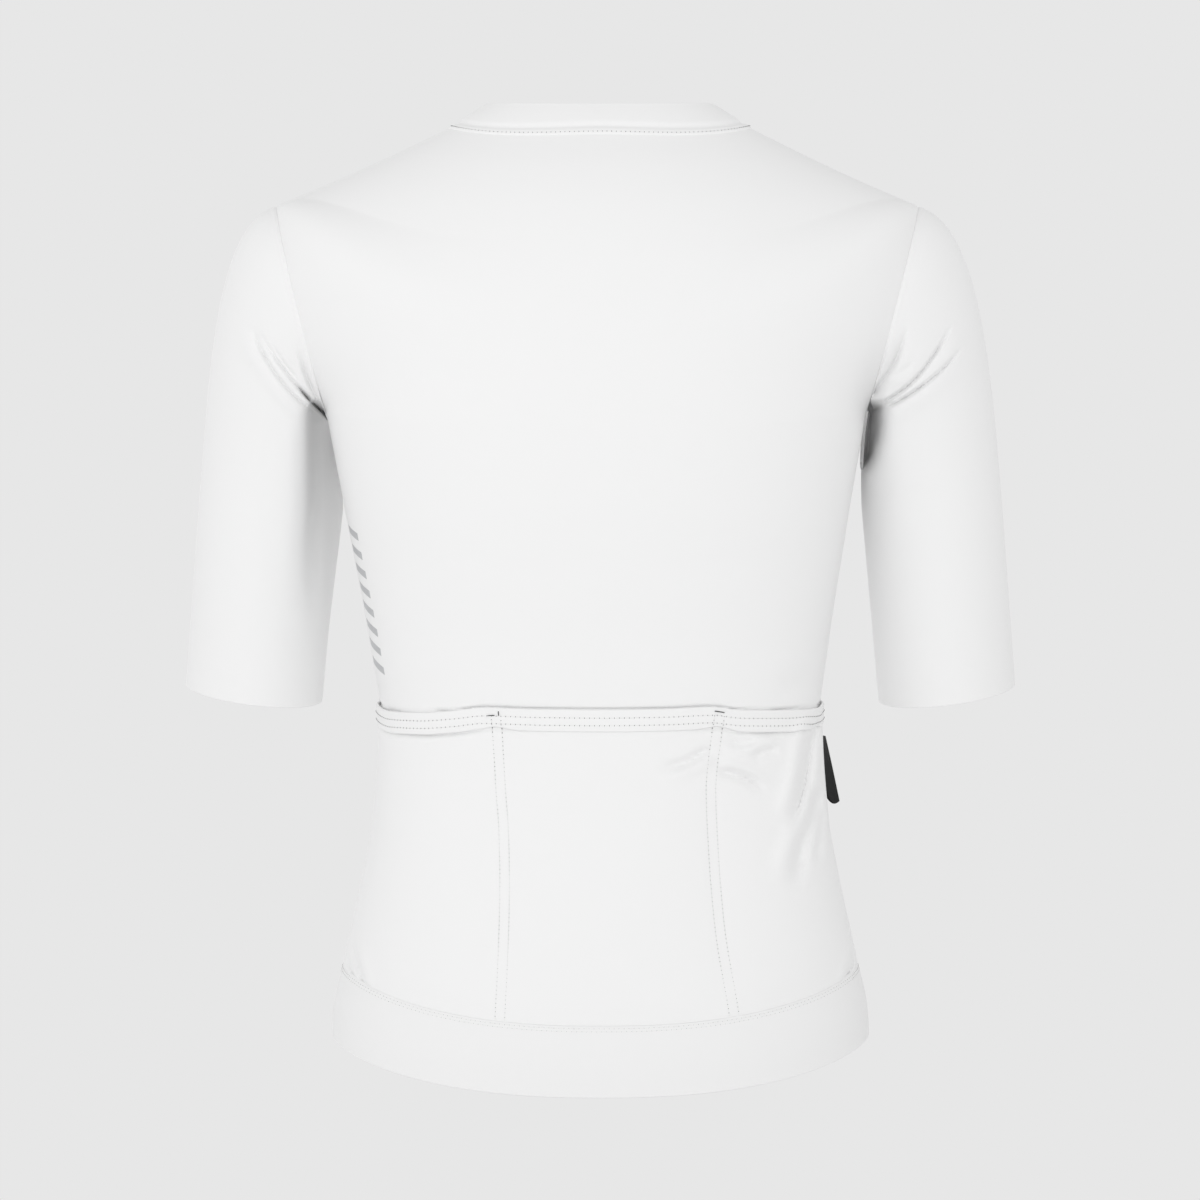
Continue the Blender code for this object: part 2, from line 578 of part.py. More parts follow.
def make_side_tag(outer, material, collection):
    """The folded tag in the side seam on the wearer's right.

    Its sewn edge runs down the seam, its free edge runs from the top's tip to the bottom's,
    and each row between them droops more the lower it lies.
    """
    seam = outer["front_right"][:, 0]
    down = np.linspace(0, 1, TAG_ROWS + 1)[:, None]
    heights = TAG_ROOT_HEIGHTS[0] + (TAG_ROOT_HEIGHTS[1] - TAG_ROOT_HEIGHTS[0]) * down
    clear = SEAM_GAP + TAG_THICKNESS / 2
    root = np.concatenate([np.interp(heights, seam[:, 2], seam[:, 0]) - clear,
                           np.full_like(heights, -clear), heights], axis=1)
    tip = np.array(TAG_TIP_TOP) * (1 - down) + np.array(TAG_TIP_BOTTOM) * down
    out = np.linspace(0, 1, TAG_COLUMNS + 1)[None, :, None]
    middle = root[:, None] * (1 - out) + tip[:, None] * out
    middle[..., 2] -= (TAG_DROOP * 4 * out * (1 - out))[..., 0] * down
    middle = middle[::-1, ::-1]
    normals = grid_normals(middle, False)
    add_wall("side_tag", middle + normals * TAG_THICKNESS / 2, normals, material, collection,
             thickness=TAG_THICKNESS)


# ---- Zip ------------------------------------------------------------------------------------
def centre_front(outer, normals):
    """The front's edge points beside the zip from hem to collar top, with the next column.

    Where two pieces meet at a seam, their two points are taken as one between them.
    """
    edges, nexts, ways = [], [], []
    for name, column, inward in (("hem_band", 0, 1), ("front_left", 0, 1), ("collar", 0, 1)):
        edges.append(outer[name][:, column])
        nexts.append(outer[name][:, column + inward])
        ways.append(normals[name][:, column])
    joined = []
    for parts in (edges, nexts, ways):
        line = list(parts[0])
        for part in parts[1:]:
            line[-1] = (line[-1] + part[0]) / 2
            line += list(part[1:])
        joined.append(np.array(line))
    edge, following, way = joined
    return edge, following, unit(way * (0, 1, 1))


def make_zip(outer, normals, material, collection):
    """Tape and closed coil along the centre front, behind the fronts' edges."""
    edge, following, way = centre_front(outer, normals)
    slope = (following - edge) / (following[:, :1] - edge[:, :1])
    tape_level = CLOTH + SEAM_GAP
    flank = COIL_HALF_WIDTH + COIL_STEP
    #          x                 depth behind the cloth's outer side
    section = ((TAPE_HALF_WIDTH, tape_level), (flank, tape_level),
               (COIL_HALF_WIDTH, COIL_RECESS), (-COIL_HALF_WIDTH, COIL_RECESS),
               (-flank, tape_level), (-TAPE_HALF_WIDTH, tape_level))
    columns, backs = [], []
    lean = curve_through(LEAN, edge[:, 2])
    for x, level in section:
        reach = max(abs(x) - FRONT_OPENING, 0.0)
        point = edge + slope * reach
        point[:, 0] = x + lean
        columns.append(point - way * level)
        backs.append(point - way * (tape_level + CLOTH))
    front = np.stack(columns, axis=1)
    behind = np.stack(backs, axis=1)
    vertices = np.concatenate([front.reshape(-1, 3), behind.reshape(-1, 3)])
    faces = wall_faces(front.shape[0], front.shape[1], False)
    add_object("zip", vertices, faces, material, collection)
    return edge, way


def slider_frame(edge, way):
    """Place of the slider: a frame with x across, y up along the zip and z out of the cloth."""
    up = unit(edge[-1] - edge[-2])
    place = edge[-1] - up * SLIDER_DROP
    place[0] = curve_through(LEAN, place[2])
    up[0] = 0.0
    up = Vector(up).normalized()
    out = Vector((1, 0, 0)).cross(up).normalized()
    turn = Matrix((Vector((1, 0, 0)), up, out)).transposed().to_4x4()
    return Matrix.Translation(Vector(place) * MM) @ turn


def box_piece(name, size, centre, material, collection, bevel=0.0):
    """A box in its own frame, with rounded edges where a bevel is given."""
    bpy.ops.mesh.primitive_cube_add(size=1)
    box = bpy.context.object
    box.name = box.data.name = name
    box.data.transform(Matrix.Diagonal((*(side * MM for side in size), 1)))
    box.data.transform(Matrix.Translation(Vector(centre) * MM))
    box.data.materials.append(material)
    if bevel:
        rounding = box.modifiers.new("rounding", "BEVEL")
        rounding.width = bevel * MM
        rounding.segments = 2
    move_to(box, collection)
    return box


def move_to(item, collection):
    """Put an object in one collection only."""
    for owner in list(item.users_collection):
        owner.objects.unlink(item)
    collection.objects.link(item)


def join_solids(body, helpers, helper_collection):
    """Union of a body with its helper solids."""
    for helper in helpers:
        helper.hide_render = True
        helper.display_type = "WIRE"
        move_to(helper, helper_collection)
        union = body.modifiers.new("union_" + helper.name, "BOOLEAN")
        union.operation = "UNION"
        union.solver = "EXACT"
        union.object = helper


def bar_along_x(name, radius, half_length, place, material, collection):
    """A round bar across the zip."""
    bpy.ops.mesh.primitive_cylinder_add(vertices=BAR_VERTICES, radius=radius * MM,
                                        depth=2 * half_length * MM)
    bar = bpy.context.object
    bar.name = bar.data.name = name
    bar.data.transform(Matrix.Rotation(math.pi / 2, 4, "Y"))
    bar.data.transform(Matrix.Translation(Vector(place) * MM))
    bar.data.materials.append(material)
    move_to(bar, collection)
    return bar


def make_slider(frame, material, collection, helper_collection):
    """The slider with the staple that holds the pull tab."""
    base = SEAM_GAP + SLIDER_SIZE[2] / 2
    face = SEAM_GAP + SLIDER_SIZE[2]
    body = box_piece("zip_slider", SLIDER_SIZE, (0, 0, base), material, collection, bevel=0.7)
    body.matrix_world = frame
    reach, top = STAPLE_HALF_LENGTH, face + STAPLE_HEIGHT
    bar = (2 * STAPLE_RADIUS, 2 * (reach + STAPLE_RADIUS), 2 * STAPLE_RADIUS)
    post = (2 * STAPLE_RADIUS, 2 * STAPLE_RADIUS, STAPLE_HEIGHT + STAPLE_ROOT)
    helpers = [box_piece("staple_bar", bar, (0, 0, top), material, collection, bevel=0.2)]
    for sign in (1, -1):
        centre = (0, sign * reach, top - post[2] / 2)
        helpers.append(box_piece("staple_post", post, centre, material, collection))
    for helper in helpers:
        helper.matrix_world = frame
    join_solids(body, helpers, helper_collection)
    return face


def make_pull_tab(frame, face, material, collection, helper_collection):
    """The pull tab, with its origin on the axis of the bar by which it hangs."""
    pin = frame @ Matrix.Translation(Vector((0, PIN_OFFSET, face + PIN_HEIGHT)) * MM)
    hang = pin @ Matrix.Rotation(TAB_LEAN, 4, "X")
    arm_width, arm_length, _ = TAB_ARM
    plate_centre = (0, PLATE_LAP - arm_length - TAB_PLATE[1] / 2, 0)
    tab = box_piece("zip_pull_tab", TAB_PLATE, plate_centre, material, collection, bevel=0.3)
    helpers = [bar_along_x("tab_pin", PIN_RADIUS, PIN_HALF_LENGTH, (0, 0, 0), material,
                           collection)]
    for sign in (1, -1):
        centre = (sign * (PIN_HALF_LENGTH - arm_width / 2), -arm_length / 2, 0)
        helpers.append(box_piece("tab_arm", TAB_ARM, centre, material, collection))
    for piece in [tab] + helpers:
        piece.matrix_world = hang
    join_solids(tab, helpers, helper_collection)
    return pin


# ---- The whole garment ----------------------------------------------------------------------
def make_material(name, colour, roughness):
    """A plain Principled material."""
    material = bpy.data.materials.new(name)
    material.use_nodes = True
    shader = material.node_tree.nodes["Principled BSDF"]
    shader.inputs["Base Color"].default_value = (*colour, 1)
    shader.inputs["Roughness"].default_value = roughness
    shader.inputs["Metallic"].default_value = 0.0
    return material


def main():
    for item in list(bpy.data.objects):
        bpy.data.objects.remove(item, do_unlink=True)
    collection = bpy.data.collections.new("cycling_jersey")
    helper_collection = bpy.data.collections.new("helpers")
    for new in (collection, helper_collection):
        bpy.context.scene.collection.children.link(new)
    cloth = make_material("white_knit", WHITE_CLOTH, CLOTH_ROUGHNESS)
    band_cloth = make_material("ribbed_band", BAND_CLOTH, CLOTH_ROUGHNESS)
    tag_cloth = make_material("black_woven_tag", TAG_BLACK, CLOTH_ROUGHNESS)
    plastic = make_material("white_zip", ZIP_WHITE, PLASTIC_ROUGHNESS)

    outer, normals = make_cloth(cloth, band_cloth, collection)
    make_pockets(outer, normals, cloth, collection)
    make_side_tag(outer, tag_cloth, collection)
    edge, way = make_zip(outer, normals, plastic, collection)
    frame = slider_frame(edge, way)
    face = make_slider(frame, plastic, collection, helper_collection)
    make_pull_tab(frame, face, plastic, collection, helper_collection)


main()
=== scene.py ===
"""A women's short-sleeved cycling jersey, filled out with nobody in it, dressed on its CAD frame.

Every cloth piece is a sheet: a grid of points worked out from the same sizes as its solid,
pressed with creases and seam grooves, and given a thin wall. Lengths in the size fields are
millimetres and turn into metres where a mesh is made. The origin is midway between the points
where a shoulder seam meets the collar. +Z is up, the front faces -Y, the wearer's left is +X.
"""
import sys

import logging
import math
from dataclasses import dataclass, field, replace
from enum import Enum
from typing import Any, Sequence

import bpy
import numpy as np
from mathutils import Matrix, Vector

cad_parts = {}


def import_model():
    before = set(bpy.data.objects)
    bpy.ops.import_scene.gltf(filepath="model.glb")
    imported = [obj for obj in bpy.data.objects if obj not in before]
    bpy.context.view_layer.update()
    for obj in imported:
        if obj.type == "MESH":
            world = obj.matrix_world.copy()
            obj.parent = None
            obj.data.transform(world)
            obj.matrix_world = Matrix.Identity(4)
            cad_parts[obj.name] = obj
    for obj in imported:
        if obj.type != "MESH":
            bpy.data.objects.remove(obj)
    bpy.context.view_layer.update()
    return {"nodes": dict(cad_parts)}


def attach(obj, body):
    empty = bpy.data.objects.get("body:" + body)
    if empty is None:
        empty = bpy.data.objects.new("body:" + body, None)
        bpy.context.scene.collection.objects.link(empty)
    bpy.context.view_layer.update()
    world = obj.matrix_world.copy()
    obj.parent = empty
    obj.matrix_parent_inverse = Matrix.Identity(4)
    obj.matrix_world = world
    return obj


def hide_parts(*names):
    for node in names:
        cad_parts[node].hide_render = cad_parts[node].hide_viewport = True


LOG = logging.getLogger("jersey")
Array = np.ndarray
Sizes = Sequence[float]
Table = Sequence[Sizes]
MM = 0.001
UV_UNIT = 100.0        # millimetres of cloth to one unit of its UV map
JERSEY = "jersey"      # the body that all cloth rides on
ROUNDING = 1e-9        # more than the rounding error of an angle
X_WAY = np.array((1.0, 0.0, 0.0))


class Face(Enum):
    """The side of the body that a panel covers."""

    BACK = 1
    FRONT = -1

    @property
    def place(self) -> int:
        """Its place in a pair of values for back and front."""
        return 0 if self is Face.BACK else 1


# ---- Curves and vectors ----------------------------------------------------------------------
def curve_through(table: Table, at: Any) -> Array:
    """A table's second column on a smooth curve that never overshoots a row.

    Cubic pieces whose slopes at the rows are weighted harmonic means of the slopes beside them.

    Args:
        table: rows that start with the key.
        at: keys to read the curve at.

    Returns:
        The values at the keys.
    """
    rows = np.array(sorted(map(tuple, table)), float)
    key, value = rows[:, 0], rows[:, 1]
    step = np.diff(key)
    slope = np.diff(value) / step
    tangent = np.zeros_like(value)
    rising = slope[1:] * slope[:-1] > 0
    near, far = (2 * step[1:] + step[:-1])[rising], (step[1:] + 2 * step[:-1])[rising]
    tangent[1:-1][rising] = (near + far) / (near / slope[:-1][rising] + far / slope[1:][rising])
    tangent[0], tangent[-1] = slope[0], slope[-1]
    at = np.clip(np.asarray(at, float), key[0], key[-1])
    k = np.clip(np.searchsorted(key, at) - 1, 0, len(step) - 1)
    t = (at - key[k]) / step[k]
    return (value[k] * (1 + 2 * t) * (1 - t) ** 2 + value[k + 1] * t * t * (3 - 2 * t)
            + step[k] * t * (1 - t) * (tangent[k] * (1 - t) - tangent[k + 1] * t))


def around(four: Sizes, angle: Array) -> Array:
    """A value that passes through four given ones a quarter turn apart.

    Args:
        four: the values at 0, a quarter, a half and three quarters of a turn.
        angle: where to read it, in radians.

    Returns:
        The values at the angles.
    """
    a, b, c, d = four
    return ((a + b + c + d) / 4 + (a - c) / 2 * np.cos(angle) + (b - d) / 2 * np.sin(angle)
            + (a - b + c - d) / 4 * np.cos(2 * angle))


def unit(vectors: Array) -> Array:
    """Vectors scaled to length one."""
    return vectors / np.linalg.norm(vectors, axis=-1, keepdims=True)


def ease(t: Array) -> Array:
    """0 to 1 with level ends: three t squared less two t cubed, clipped."""
    t = np.clip(t, 0, 1)
    return t * t * (3 - 2 * t)


def bell(distance: Array, width: float) -> Array:
    """A bell of height one: e to the minus squared distance over width."""
    return np.exp(-(distance / width) ** 2)


def mirrored(points: Array, side: int = -1) -> Array:
    """The same points on the other side of the body, or as they are where side is 1."""
    return points * (side, 1, 1)


def run_lengths(points: Array, axis: int) -> Array:
    """Length walked along one axis of a grid up to each point.

    Args:
        points: a row or a grid of points.
        axis: the axis to walk along.

    Returns:
        The lengths, 0 at the start.
    """
    step = np.linalg.norm(np.diff(points, axis=axis), axis=-1)
    start = np.zeros_like(np.take(step, [0], axis=axis))
    return np.concatenate([start, np.cumsum(step, axis=axis)], axis=axis)


def read_along(values: Array, walked: Array, at: Any) -> Array:
    """Vectors at lengths along a path, read on the straight lines between its points."""
    return np.stack([np.interp(at, walked, values[:, i]) for i in range(3)], axis=-1)


# ---- The body's form ---------------------------------------------------------------------------
@dataclass(frozen=True)
class BandEdge:
    """Free edge of a band: its half width, depths behind and in front, and heights."""

    half_width: float
    back: float
    front: float
    height: Sizes                  # side, back, front


@dataclass(frozen=True)
class BodyBlock:
    """The body block that all panels are cut from: its sizes and the surfaces they give."""

    roundness: float = 2.35        # power of the superellipse
    #                     height  half width of the side seam
    side_outline: Table = ((-175, 167.5), (-205, 161.8), (-255, 152.8), (-304, 144.2),
                           (-329, 140.4), (-354, 136.8), (-379, 135.9), (-428, 138.9),
                           (-453, 143.6), (-503, 155.6), (-540, 164.6), (-560, 166.3))
    #                     height  depth behind the side seams, at the centre back
    back_profile: Table = ((-8.5, 60), (-30, 77), (-55, 91), (-90, 103), (-130, 110),
                           (-180, 112.5), (-230, 109), (-280, 100.5), (-330, 92.5),
                           (-370, 90), (-410, 92), (-460, 99.5), (-510, 107), (-550, 110.5),
                           (-600, 111))
    #                      height  depth in front of the side seams, at the centre front
    front_profile: Table = ((-70, 80), (-90, 91), (-120, 103.5), (-160, 114), (-205, 119.5),
                            (-245, 118), (-290, 108.5), (-340, 98.5), (-380, 95.5),
                            (-430, 98), (-480, 103.5), (-560, 108))
    #             height  sideways lean
    lean: Table = ((-600, 0), (-400, 0), (-300, 1.0), (-200, 2.4), (-110, 2.6), (-48, 1.8),
                   (0, 0))
    #                   side  back  front heights of the seams, from the hem to the neck
    seams: Table = ((-516, -547, -503), (-352, -357, -352), (-175, -186, -190),
                    (-48, -74, -118), (0, -8.5, -70))
    stations: Sequence[int] = (0, 8, 14, 26, 30)  # the row of the CAD grid at each seam
    shoulder_half_width: float = 199.0
    shoulder_forward: float = 5.0
    underarm_half_width: float = 167.5
    armhole_half_depth: Sizes = (52.0, 50.0)  # back, front
    neck_half_width: float = 93.6
    shoulder_seam_dip: float = 1.2
    shoulder_turn: float = math.radians(30)  # where a row starts on its arc
    turn_power: float = 1.2        # power by which that turn dies away towards the neck
    flare_fade: int = 3            # power by which a row's bend dies away from its edge point
    ridge_rise: float = 21.3       # height of the shoulder line over the middle of the neck
    ridge_power: int = 4           # power by which a row takes up the shoulder line's shape
    # Powers by which rows fall to the centre, at each seam but the neck's, and at the neck's.
    drop_power: Sizes = (1.8, 1.05, 1.2, 2.2)
    neck_power: Sizes = (2.0, 1.5)  # back, front
    zip_margin: float = 1.0        # a band's points this near its opening stay beside the zip

    def shoulder_line(self, x: Array) -> Array:
        """Height of the shoulder line at x: straight outside the neck, rounded over it.

        Args:
            x: places across the body.

        Returns:
            The heights.
        """
        x = np.abs(x)
        slope = (self.seams[4][0] - self.seams[3][0]) / (self.shoulder_half_width
                                                         - self.neck_half_width)
        return np.where(x > self.neck_half_width, slope * (self.neck_half_width - x),
                        self.ridge_rise * (1 - (x / self.neck_half_width) ** 2))

    def armhole(self, turn: Array, face: Face) -> Array:
        """Points of the left armhole: turn 0 is the shoulder point, pi is the underarm.

        Args:
            turn: places round the armhole.
            face: its half behind or in front.

        Returns:
            The points: height falls as the cosine of the turn, depth swells as its sine.
        """
        low, high = self.seams[2][0], self.seams[3][0]
        point = np.zeros(np.shape(turn) + (3,))
        point[..., 2] = (high + low) / 2 + (high - low) / 2 * np.cos(turn)
        share = (point[..., 2] - low) / (high - low)
        point[..., 0] = (self.underarm_half_width
                         + share * (self.shoulder_half_width - self.underarm_half_width))
        half_depth = self.armhole_half_depth[face.place]
        point[..., 1] = (-self.shoulder_forward * (1 + np.cos(turn)) / 2
                         + face.value * half_depth * np.sin(turn))
        return point

    def panel(self, face: Face, row: Array, share: Array, opening: float = 0.0) -> Array:
        """Left half of the back or front surface, from its edge to the centre or the zip.

        A row is an arc of a superellipse that ends at its centre point, bent near its start
        so that it meets its edge point. Its height follows the shoulder line near the
        shoulder and the row's own two heights elsewhere.

        Args:
            face: back or front.
            row: row positions, 0 at the hem seam and 30 at the neck seam.
            share: column positions, 0 at the edge and 1 at the centre.
            opening: half width left free at the centre.

        Returns:
            Points, rows by columns by 3.
        """
        under, top, neck = self.stations[2:]
        in_armhole, in_shoulder = (row > under) & (row <= top), row > top
        height = curve_through([(station, seam[1 + face.place])
                                for station, seam in zip(self.stations, self.seams)], row)
        edge = np.zeros((len(row), 3))
        edge[:, 2] = np.interp(row, self.stations[:3], [h[0] for h in self.seams[:3]])
        edge[:, 0] = curve_through(self.side_outline, edge[:, 2])
        turn = np.pi * (1 - (row[in_armhole] - under) / (top - under))
        edge[in_armhole] = self.armhole(turn, face)
        along = (row[in_shoulder] - top) / (neck - top)
        span = self.neck_half_width - self.shoulder_half_width
        edge[in_shoulder, 0] = self.shoulder_half_width + along * span
        edge[in_shoulder, 1] = -self.shoulder_forward * (1 - along)
        edge[in_shoulder, 2] = (self.seams[3][0] * (1 - along)
                                - self.shoulder_seam_dip * np.sin(np.pi * along))
        profile = (self.back_profile, self.front_profile)[face.place]
        depth = face.value * curve_through(profile, height)
        power = 2 / self.roundness
        start = np.arcsin(np.clip(edge[:, 1] / depth, 0, 1) ** (1 / power))
        upward = (1 - turn / np.pi) ** 2
        start[in_armhole] += (self.shoulder_turn - start[in_armhole]) * upward
        start[in_shoulder] = self.shoulder_turn * (1 - along) ** self.turn_power
        reach = edge[:, 0] / np.cos(start) ** power
        full = self.shoulder_half_width / math.cos(self.shoulder_turn) ** power
        growth = tuple(self.side_outline[:2]) + ((self.seams[3][0], full),)
        reach[in_armhole] = curve_through(growth, edge[in_armhole, 2])
        ridge = np.zeros(len(row))
        ridge[in_armhole] = np.cos(turn / 2) ** self.ridge_power
        ridge[in_shoulder] = 1
        powers = (*self.drop_power, self.neck_power[face.place])
        drop = curve_through(list(zip(self.stations, powers)), row)[:, None]

        start, reach, ridge = start[:, None], reach[:, None], ridge[:, None]
        end = np.arccos((opening / reach) ** (1 / power))
        angle = start + (end - start) * share
        x = reach * np.maximum(np.cos(angle), 0) ** power
        x += (edge[:, :1] - x[:, :1]) * (1 - share) ** self.flare_fade
        low = np.sin(start) ** power
        inward = (np.sin(angle) ** power - low) / (1 - low)
        y = edge[:, 1:2] + (depth[:, None] - edge[:, 1:2]) * inward
        rise = ridge * (self.shoulder_line(x) - self.shoulder_line(edge[:, :1]))
        full_rise = ridge * (self.shoulder_line(np.zeros(1)) - self.shoulder_line(edge[:, :1]))
        fall = height[:, None] - edge[:, 2:3] - full_rise
        return np.stack([x, y, edge[:, 2:3] + rise + fall * inward ** drop], axis=-1)

    def leaned(self, points: Array) -> Array:
        """Points moved sideways by the body's lean at their height.

        Args:
            points: points of the upright body.

        Returns:
            The moved points.
        """
        points = points.copy()
        points[..., 0] += curve_through(self.lean, points[..., 2])
        return points

    def band(self, ring: Array, half_width: float, edge: BandEdge, share: Array,
             crown: float, drop_power: float, opening: float) -> Array:
        """A band from a seam ring to its free edge, bowed out a little between the two.

        Args:
            ring: points of the seam, from the left of the zip round the back to its right.
            half_width: the ring's greatest half width.
            edge: sizes and heights of the free edge.
            share: row positions, 0 at the seam and 1 at the free edge.
            crown: how far the band bows out at half height.
            drop_power: power by which the edge's height falls from the side to the centre.
            opening: half width of the gap at the zip.

        Returns:
            Points, rows by columns by 3.
        """
        across = ring[:, 0] / half_width
        inward = ((1 - np.clip(np.abs(across), 0, 1) ** self.roundness)
                  ** (1 / self.roundness))
        behind = ring[:, 1] > 0
        free = np.zeros_like(ring)
        free[:, 0] = edge.half_width * across
        free[:, 1] = np.where(behind, edge.back, -edge.front) * inward
        fall = np.where(behind, edge.height[1], edge.height[2]) - edge.height[0]
        free[:, 2] = edge.height[0] + fall * inward ** drop_power
        at_zip = (np.abs(ring[:, 0]) < opening + self.zip_margin) & ~behind
        free[at_zip, 0] = ring[at_zip, 0]
        along = share[:, None, None]
        bow = unit(ring * (1, 1, 0)) * crown * np.sin(np.pi * along)
        return ring + (free - ring) * along + bow


@dataclass(frozen=True)
class SleeveBlock:
    """A set-in sleeve: a cap that leaves the armhole and runs into a straight tube."""

    slope: Sizes = (0.086, -0.087, -1.0)  # the way the tube runs
    tube_start: Sizes = (207.8, -34.0, -235.0)
    tube_length: float = 115.5
    tube_half_width: Sizes = (43.9, 43.0)  # at its start and at the cuff
    tube_half_depth: Sizes = (54.0, 50.0)
    cuff_sag: float = 3.5          # the cuff hangs lower by this at the turn below
    cuff_sag_turn: float = math.radians(125)
    # How a line of the cap leaves the armhole and arrives: outer, back, inner, front.
    leave_x: Sizes = (115.0, 58.0, -3.0, 58.0)
    leave_x_right: Sizes = (115.0, 58.0, -7.0, 58.0)
    leave_y: Sizes = (-4.0, -8.0, -44.0, 0.0)
    leave_z: Sizes = (-25.0, -22.0, -42.0, -22.0)
    leave_z_right: Sizes = (-25.0, -22.0, -46.0, -22.0)
    arrive: Sizes = (250.0, 125.0, 62.0, 125.0)
    row_crowding: float = 1.25     # power by which the cap's rows lie closer at the armhole

    def surface(self, side: int, armhole: Array, turns: Array, cap: int, tube: int) -> Array:
        """Points of a sleeve from its armhole to the cuff.

        Cap lines are cubic curves between the armhole and the tube's first ring, and the tube
        is a row of ellipses whose lower ones sag on one side.

        Args:
            side: 1 for the left sleeve, -1 for the right.
            armhole: armhole points of that side, leaned with the body.
            turns: angle of each column, 0 outside and a half turn under the arm.
            cap: rows over the cap.
            tube: rows down the tube.

        Returns:
            Points, rows by columns by 3.
        """
        axis = unit(np.array(self.slope))
        outward = unit(np.array((1.0, 0.0, self.slope[0])))
        backward = unit(np.array((0.0, 1.0, self.slope[1])))
        share = np.linspace(0, 1, tube + 1)[:, None, None]
        width, depth = [first + share * (last - first)
                        for first, last in (self.tube_half_width, self.tube_half_depth)]
        around_it = (np.cos(turns)[:, None] * width * outward
                     + np.sin(turns)[:, None] * depth * backward)
        rings = np.array(self.tube_start) + axis * self.tube_length * share + around_it
        rings[..., 2] -= self.cuff_sag * share[..., 0] * np.cos(turns - self.cuff_sag_turn)
        leave_x = self.leave_x if side == 1 else self.leave_x_right
        leave_z = self.leave_z if side == 1 else self.leave_z_right
        leave = np.stack([around(four, turns) for four in (leave_x, self.leave_y, leave_z)],
                         axis=-1)
        arrive = axis * around(self.arrive, turns)[:, None]
        t = (np.linspace(0, 1, cap + 1)[:-1] ** self.row_crowding)[:, None, None]
        base = mirrored(armhole, side)
        cap_rows = (base * (1 + 2 * t) * (1 - t) ** 2 + rings[0] * t * t * (3 - 2 * t)
                    + leave * t * (1 - t) ** 2 - arrive * t * t * (1 - t))
        return mirrored(np.concatenate([cap_rows, rings]), side)


# ---- Creases -----------------------------------------------------------------------------------
@dataclass(frozen=True)
class Crease:
    """A crease along a bowed line of x and z, seen from behind or from the front.

    Its profile is a trough of bell section, part of it a narrow one along the line, with a
    softer ridge beside it. It fades at both ends. A negative depth makes a raised fold.
    """

    line: Table
    width: float
    depth: float
    ridge: float = 0.45            # height of the ridge as a share of the trough's depth
    ridge_side: int = 1            # 1 puts the ridge on the line's left
    fade: Sizes = (0.3, 0.25)      # shares of the line over which it begins and ends
    crisp: float = 0.0             # share of the depth that lies in the narrow trough
    crisp_width: float = 0.9
    ridge_away: float = 2.2        # the ridge's distance and width, in widths of the trough
    ridge_width: float = 1.3
    reach: float = 5.0             # the crease is left out this many widths from its line
    samples: int = 8               # pieces of the line for each of its given points

    def on_side(self, side: int) -> "Crease":
        """The crease itself or its mirror image.

        Args:
            side: 1 for the crease as it is, -1 for its mirror image.

        Returns:
            The crease on that side.
        """
        if side == 1:
            return self
        return replace(self, line=[(-x, z) for x, z in self.line], ridge_side=-self.ridge_side)

    def sink(self, points: Array) -> Array:
        """Depth of the crease at each point: trough less ridge, times the fade.

        Args:
            points: grid of points, of which x and z are read.

        Returns:
            How far each one sinks.
        """
        line = np.array(self.line, float)
        key = run_lengths(line, 0)
        way = np.linspace(0, key[-1], self.samples * len(line))
        path = np.stack([curve_through(np.column_stack([key, line[:, i]]), way)
                         for i in (0, 1)], axis=-1)
        start, step = path[:-1], np.diff(path, axis=0)
        flat = points.reshape(-1, 3)[:, (0, 2)]
        reach = self.reach * self.width
        near = ((flat > path.min(0) - reach) & (flat < path.max(0) + reach)).all(axis=1)
        sunk = np.zeros(len(flat))
        offset = flat[near][:, None] - start
        t = np.clip((offset * step).sum(-1) / (step ** 2).sum(-1), 0, 1)
        gap = offset - step * t[..., None]
        distance = np.linalg.norm(gap, axis=-1)
        best = distance.argmin(axis=1)
        pick = np.arange(len(best))
        side = np.sign(step[best, 0] * gap[pick, best, 1] - step[best, 1] * gap[pick, best, 0])
        signed = distance[pick, best] * side * self.ridge_side
        along = (best + t[pick, best]) / len(step)
        fade = ease(along / self.fade[0]) * ease((1 - along) / self.fade[1])
        trough = ((1 - self.crisp) * bell(signed, self.width)
                  + self.crisp * bell(signed, self.crisp_width))
        crest = self.ridge * bell(signed - self.ridge_away * self.width,
                                  self.ridge_width * self.width)
        sunk[near] = self.depth * (trough - crest) * fade
        return sunk.reshape(points.shape[:-1])


# ---- Sheets of cloth -----------------------------------------------------------------------------
class Edge(Enum):
    """An edge of a sheet's grid."""

    FIRST_ROW = 0
    LAST_ROW = 1
    FIRST_COLUMN = 2
    LAST_COLUMN = 3


SIDES = (Edge.FIRST_COLUMN, Edge.LAST_COLUMN)
FACING = 0.35          # a crease is whole where the normal's share towards the viewer is this
SEAM_CLEARANCE = 3.5   # and where it is this far from a seam that it leaves closed


def grid_quads(rows: int, columns: int) -> tuple[Array, Array]:
    """Quads of a grid's skin, and its border's point numbers in one loop round it.

    Args:
        rows: rows of points.
        columns: columns of points.

    Returns:
        Four point numbers for each quad, and the loop.
    """
    index = np.arange(rows * columns).reshape(rows, columns)
    skin = np.stack([index[:-1, :-1], index[:-1, 1:], index[1:, 1:], index[1:, :-1]],
                    axis=-1).reshape(-1, 4)
    loop = np.concatenate([index[0], index[1:, -1], index[-1, -2::-1], index[-2:0:-1, 0]])
    return skin, loop


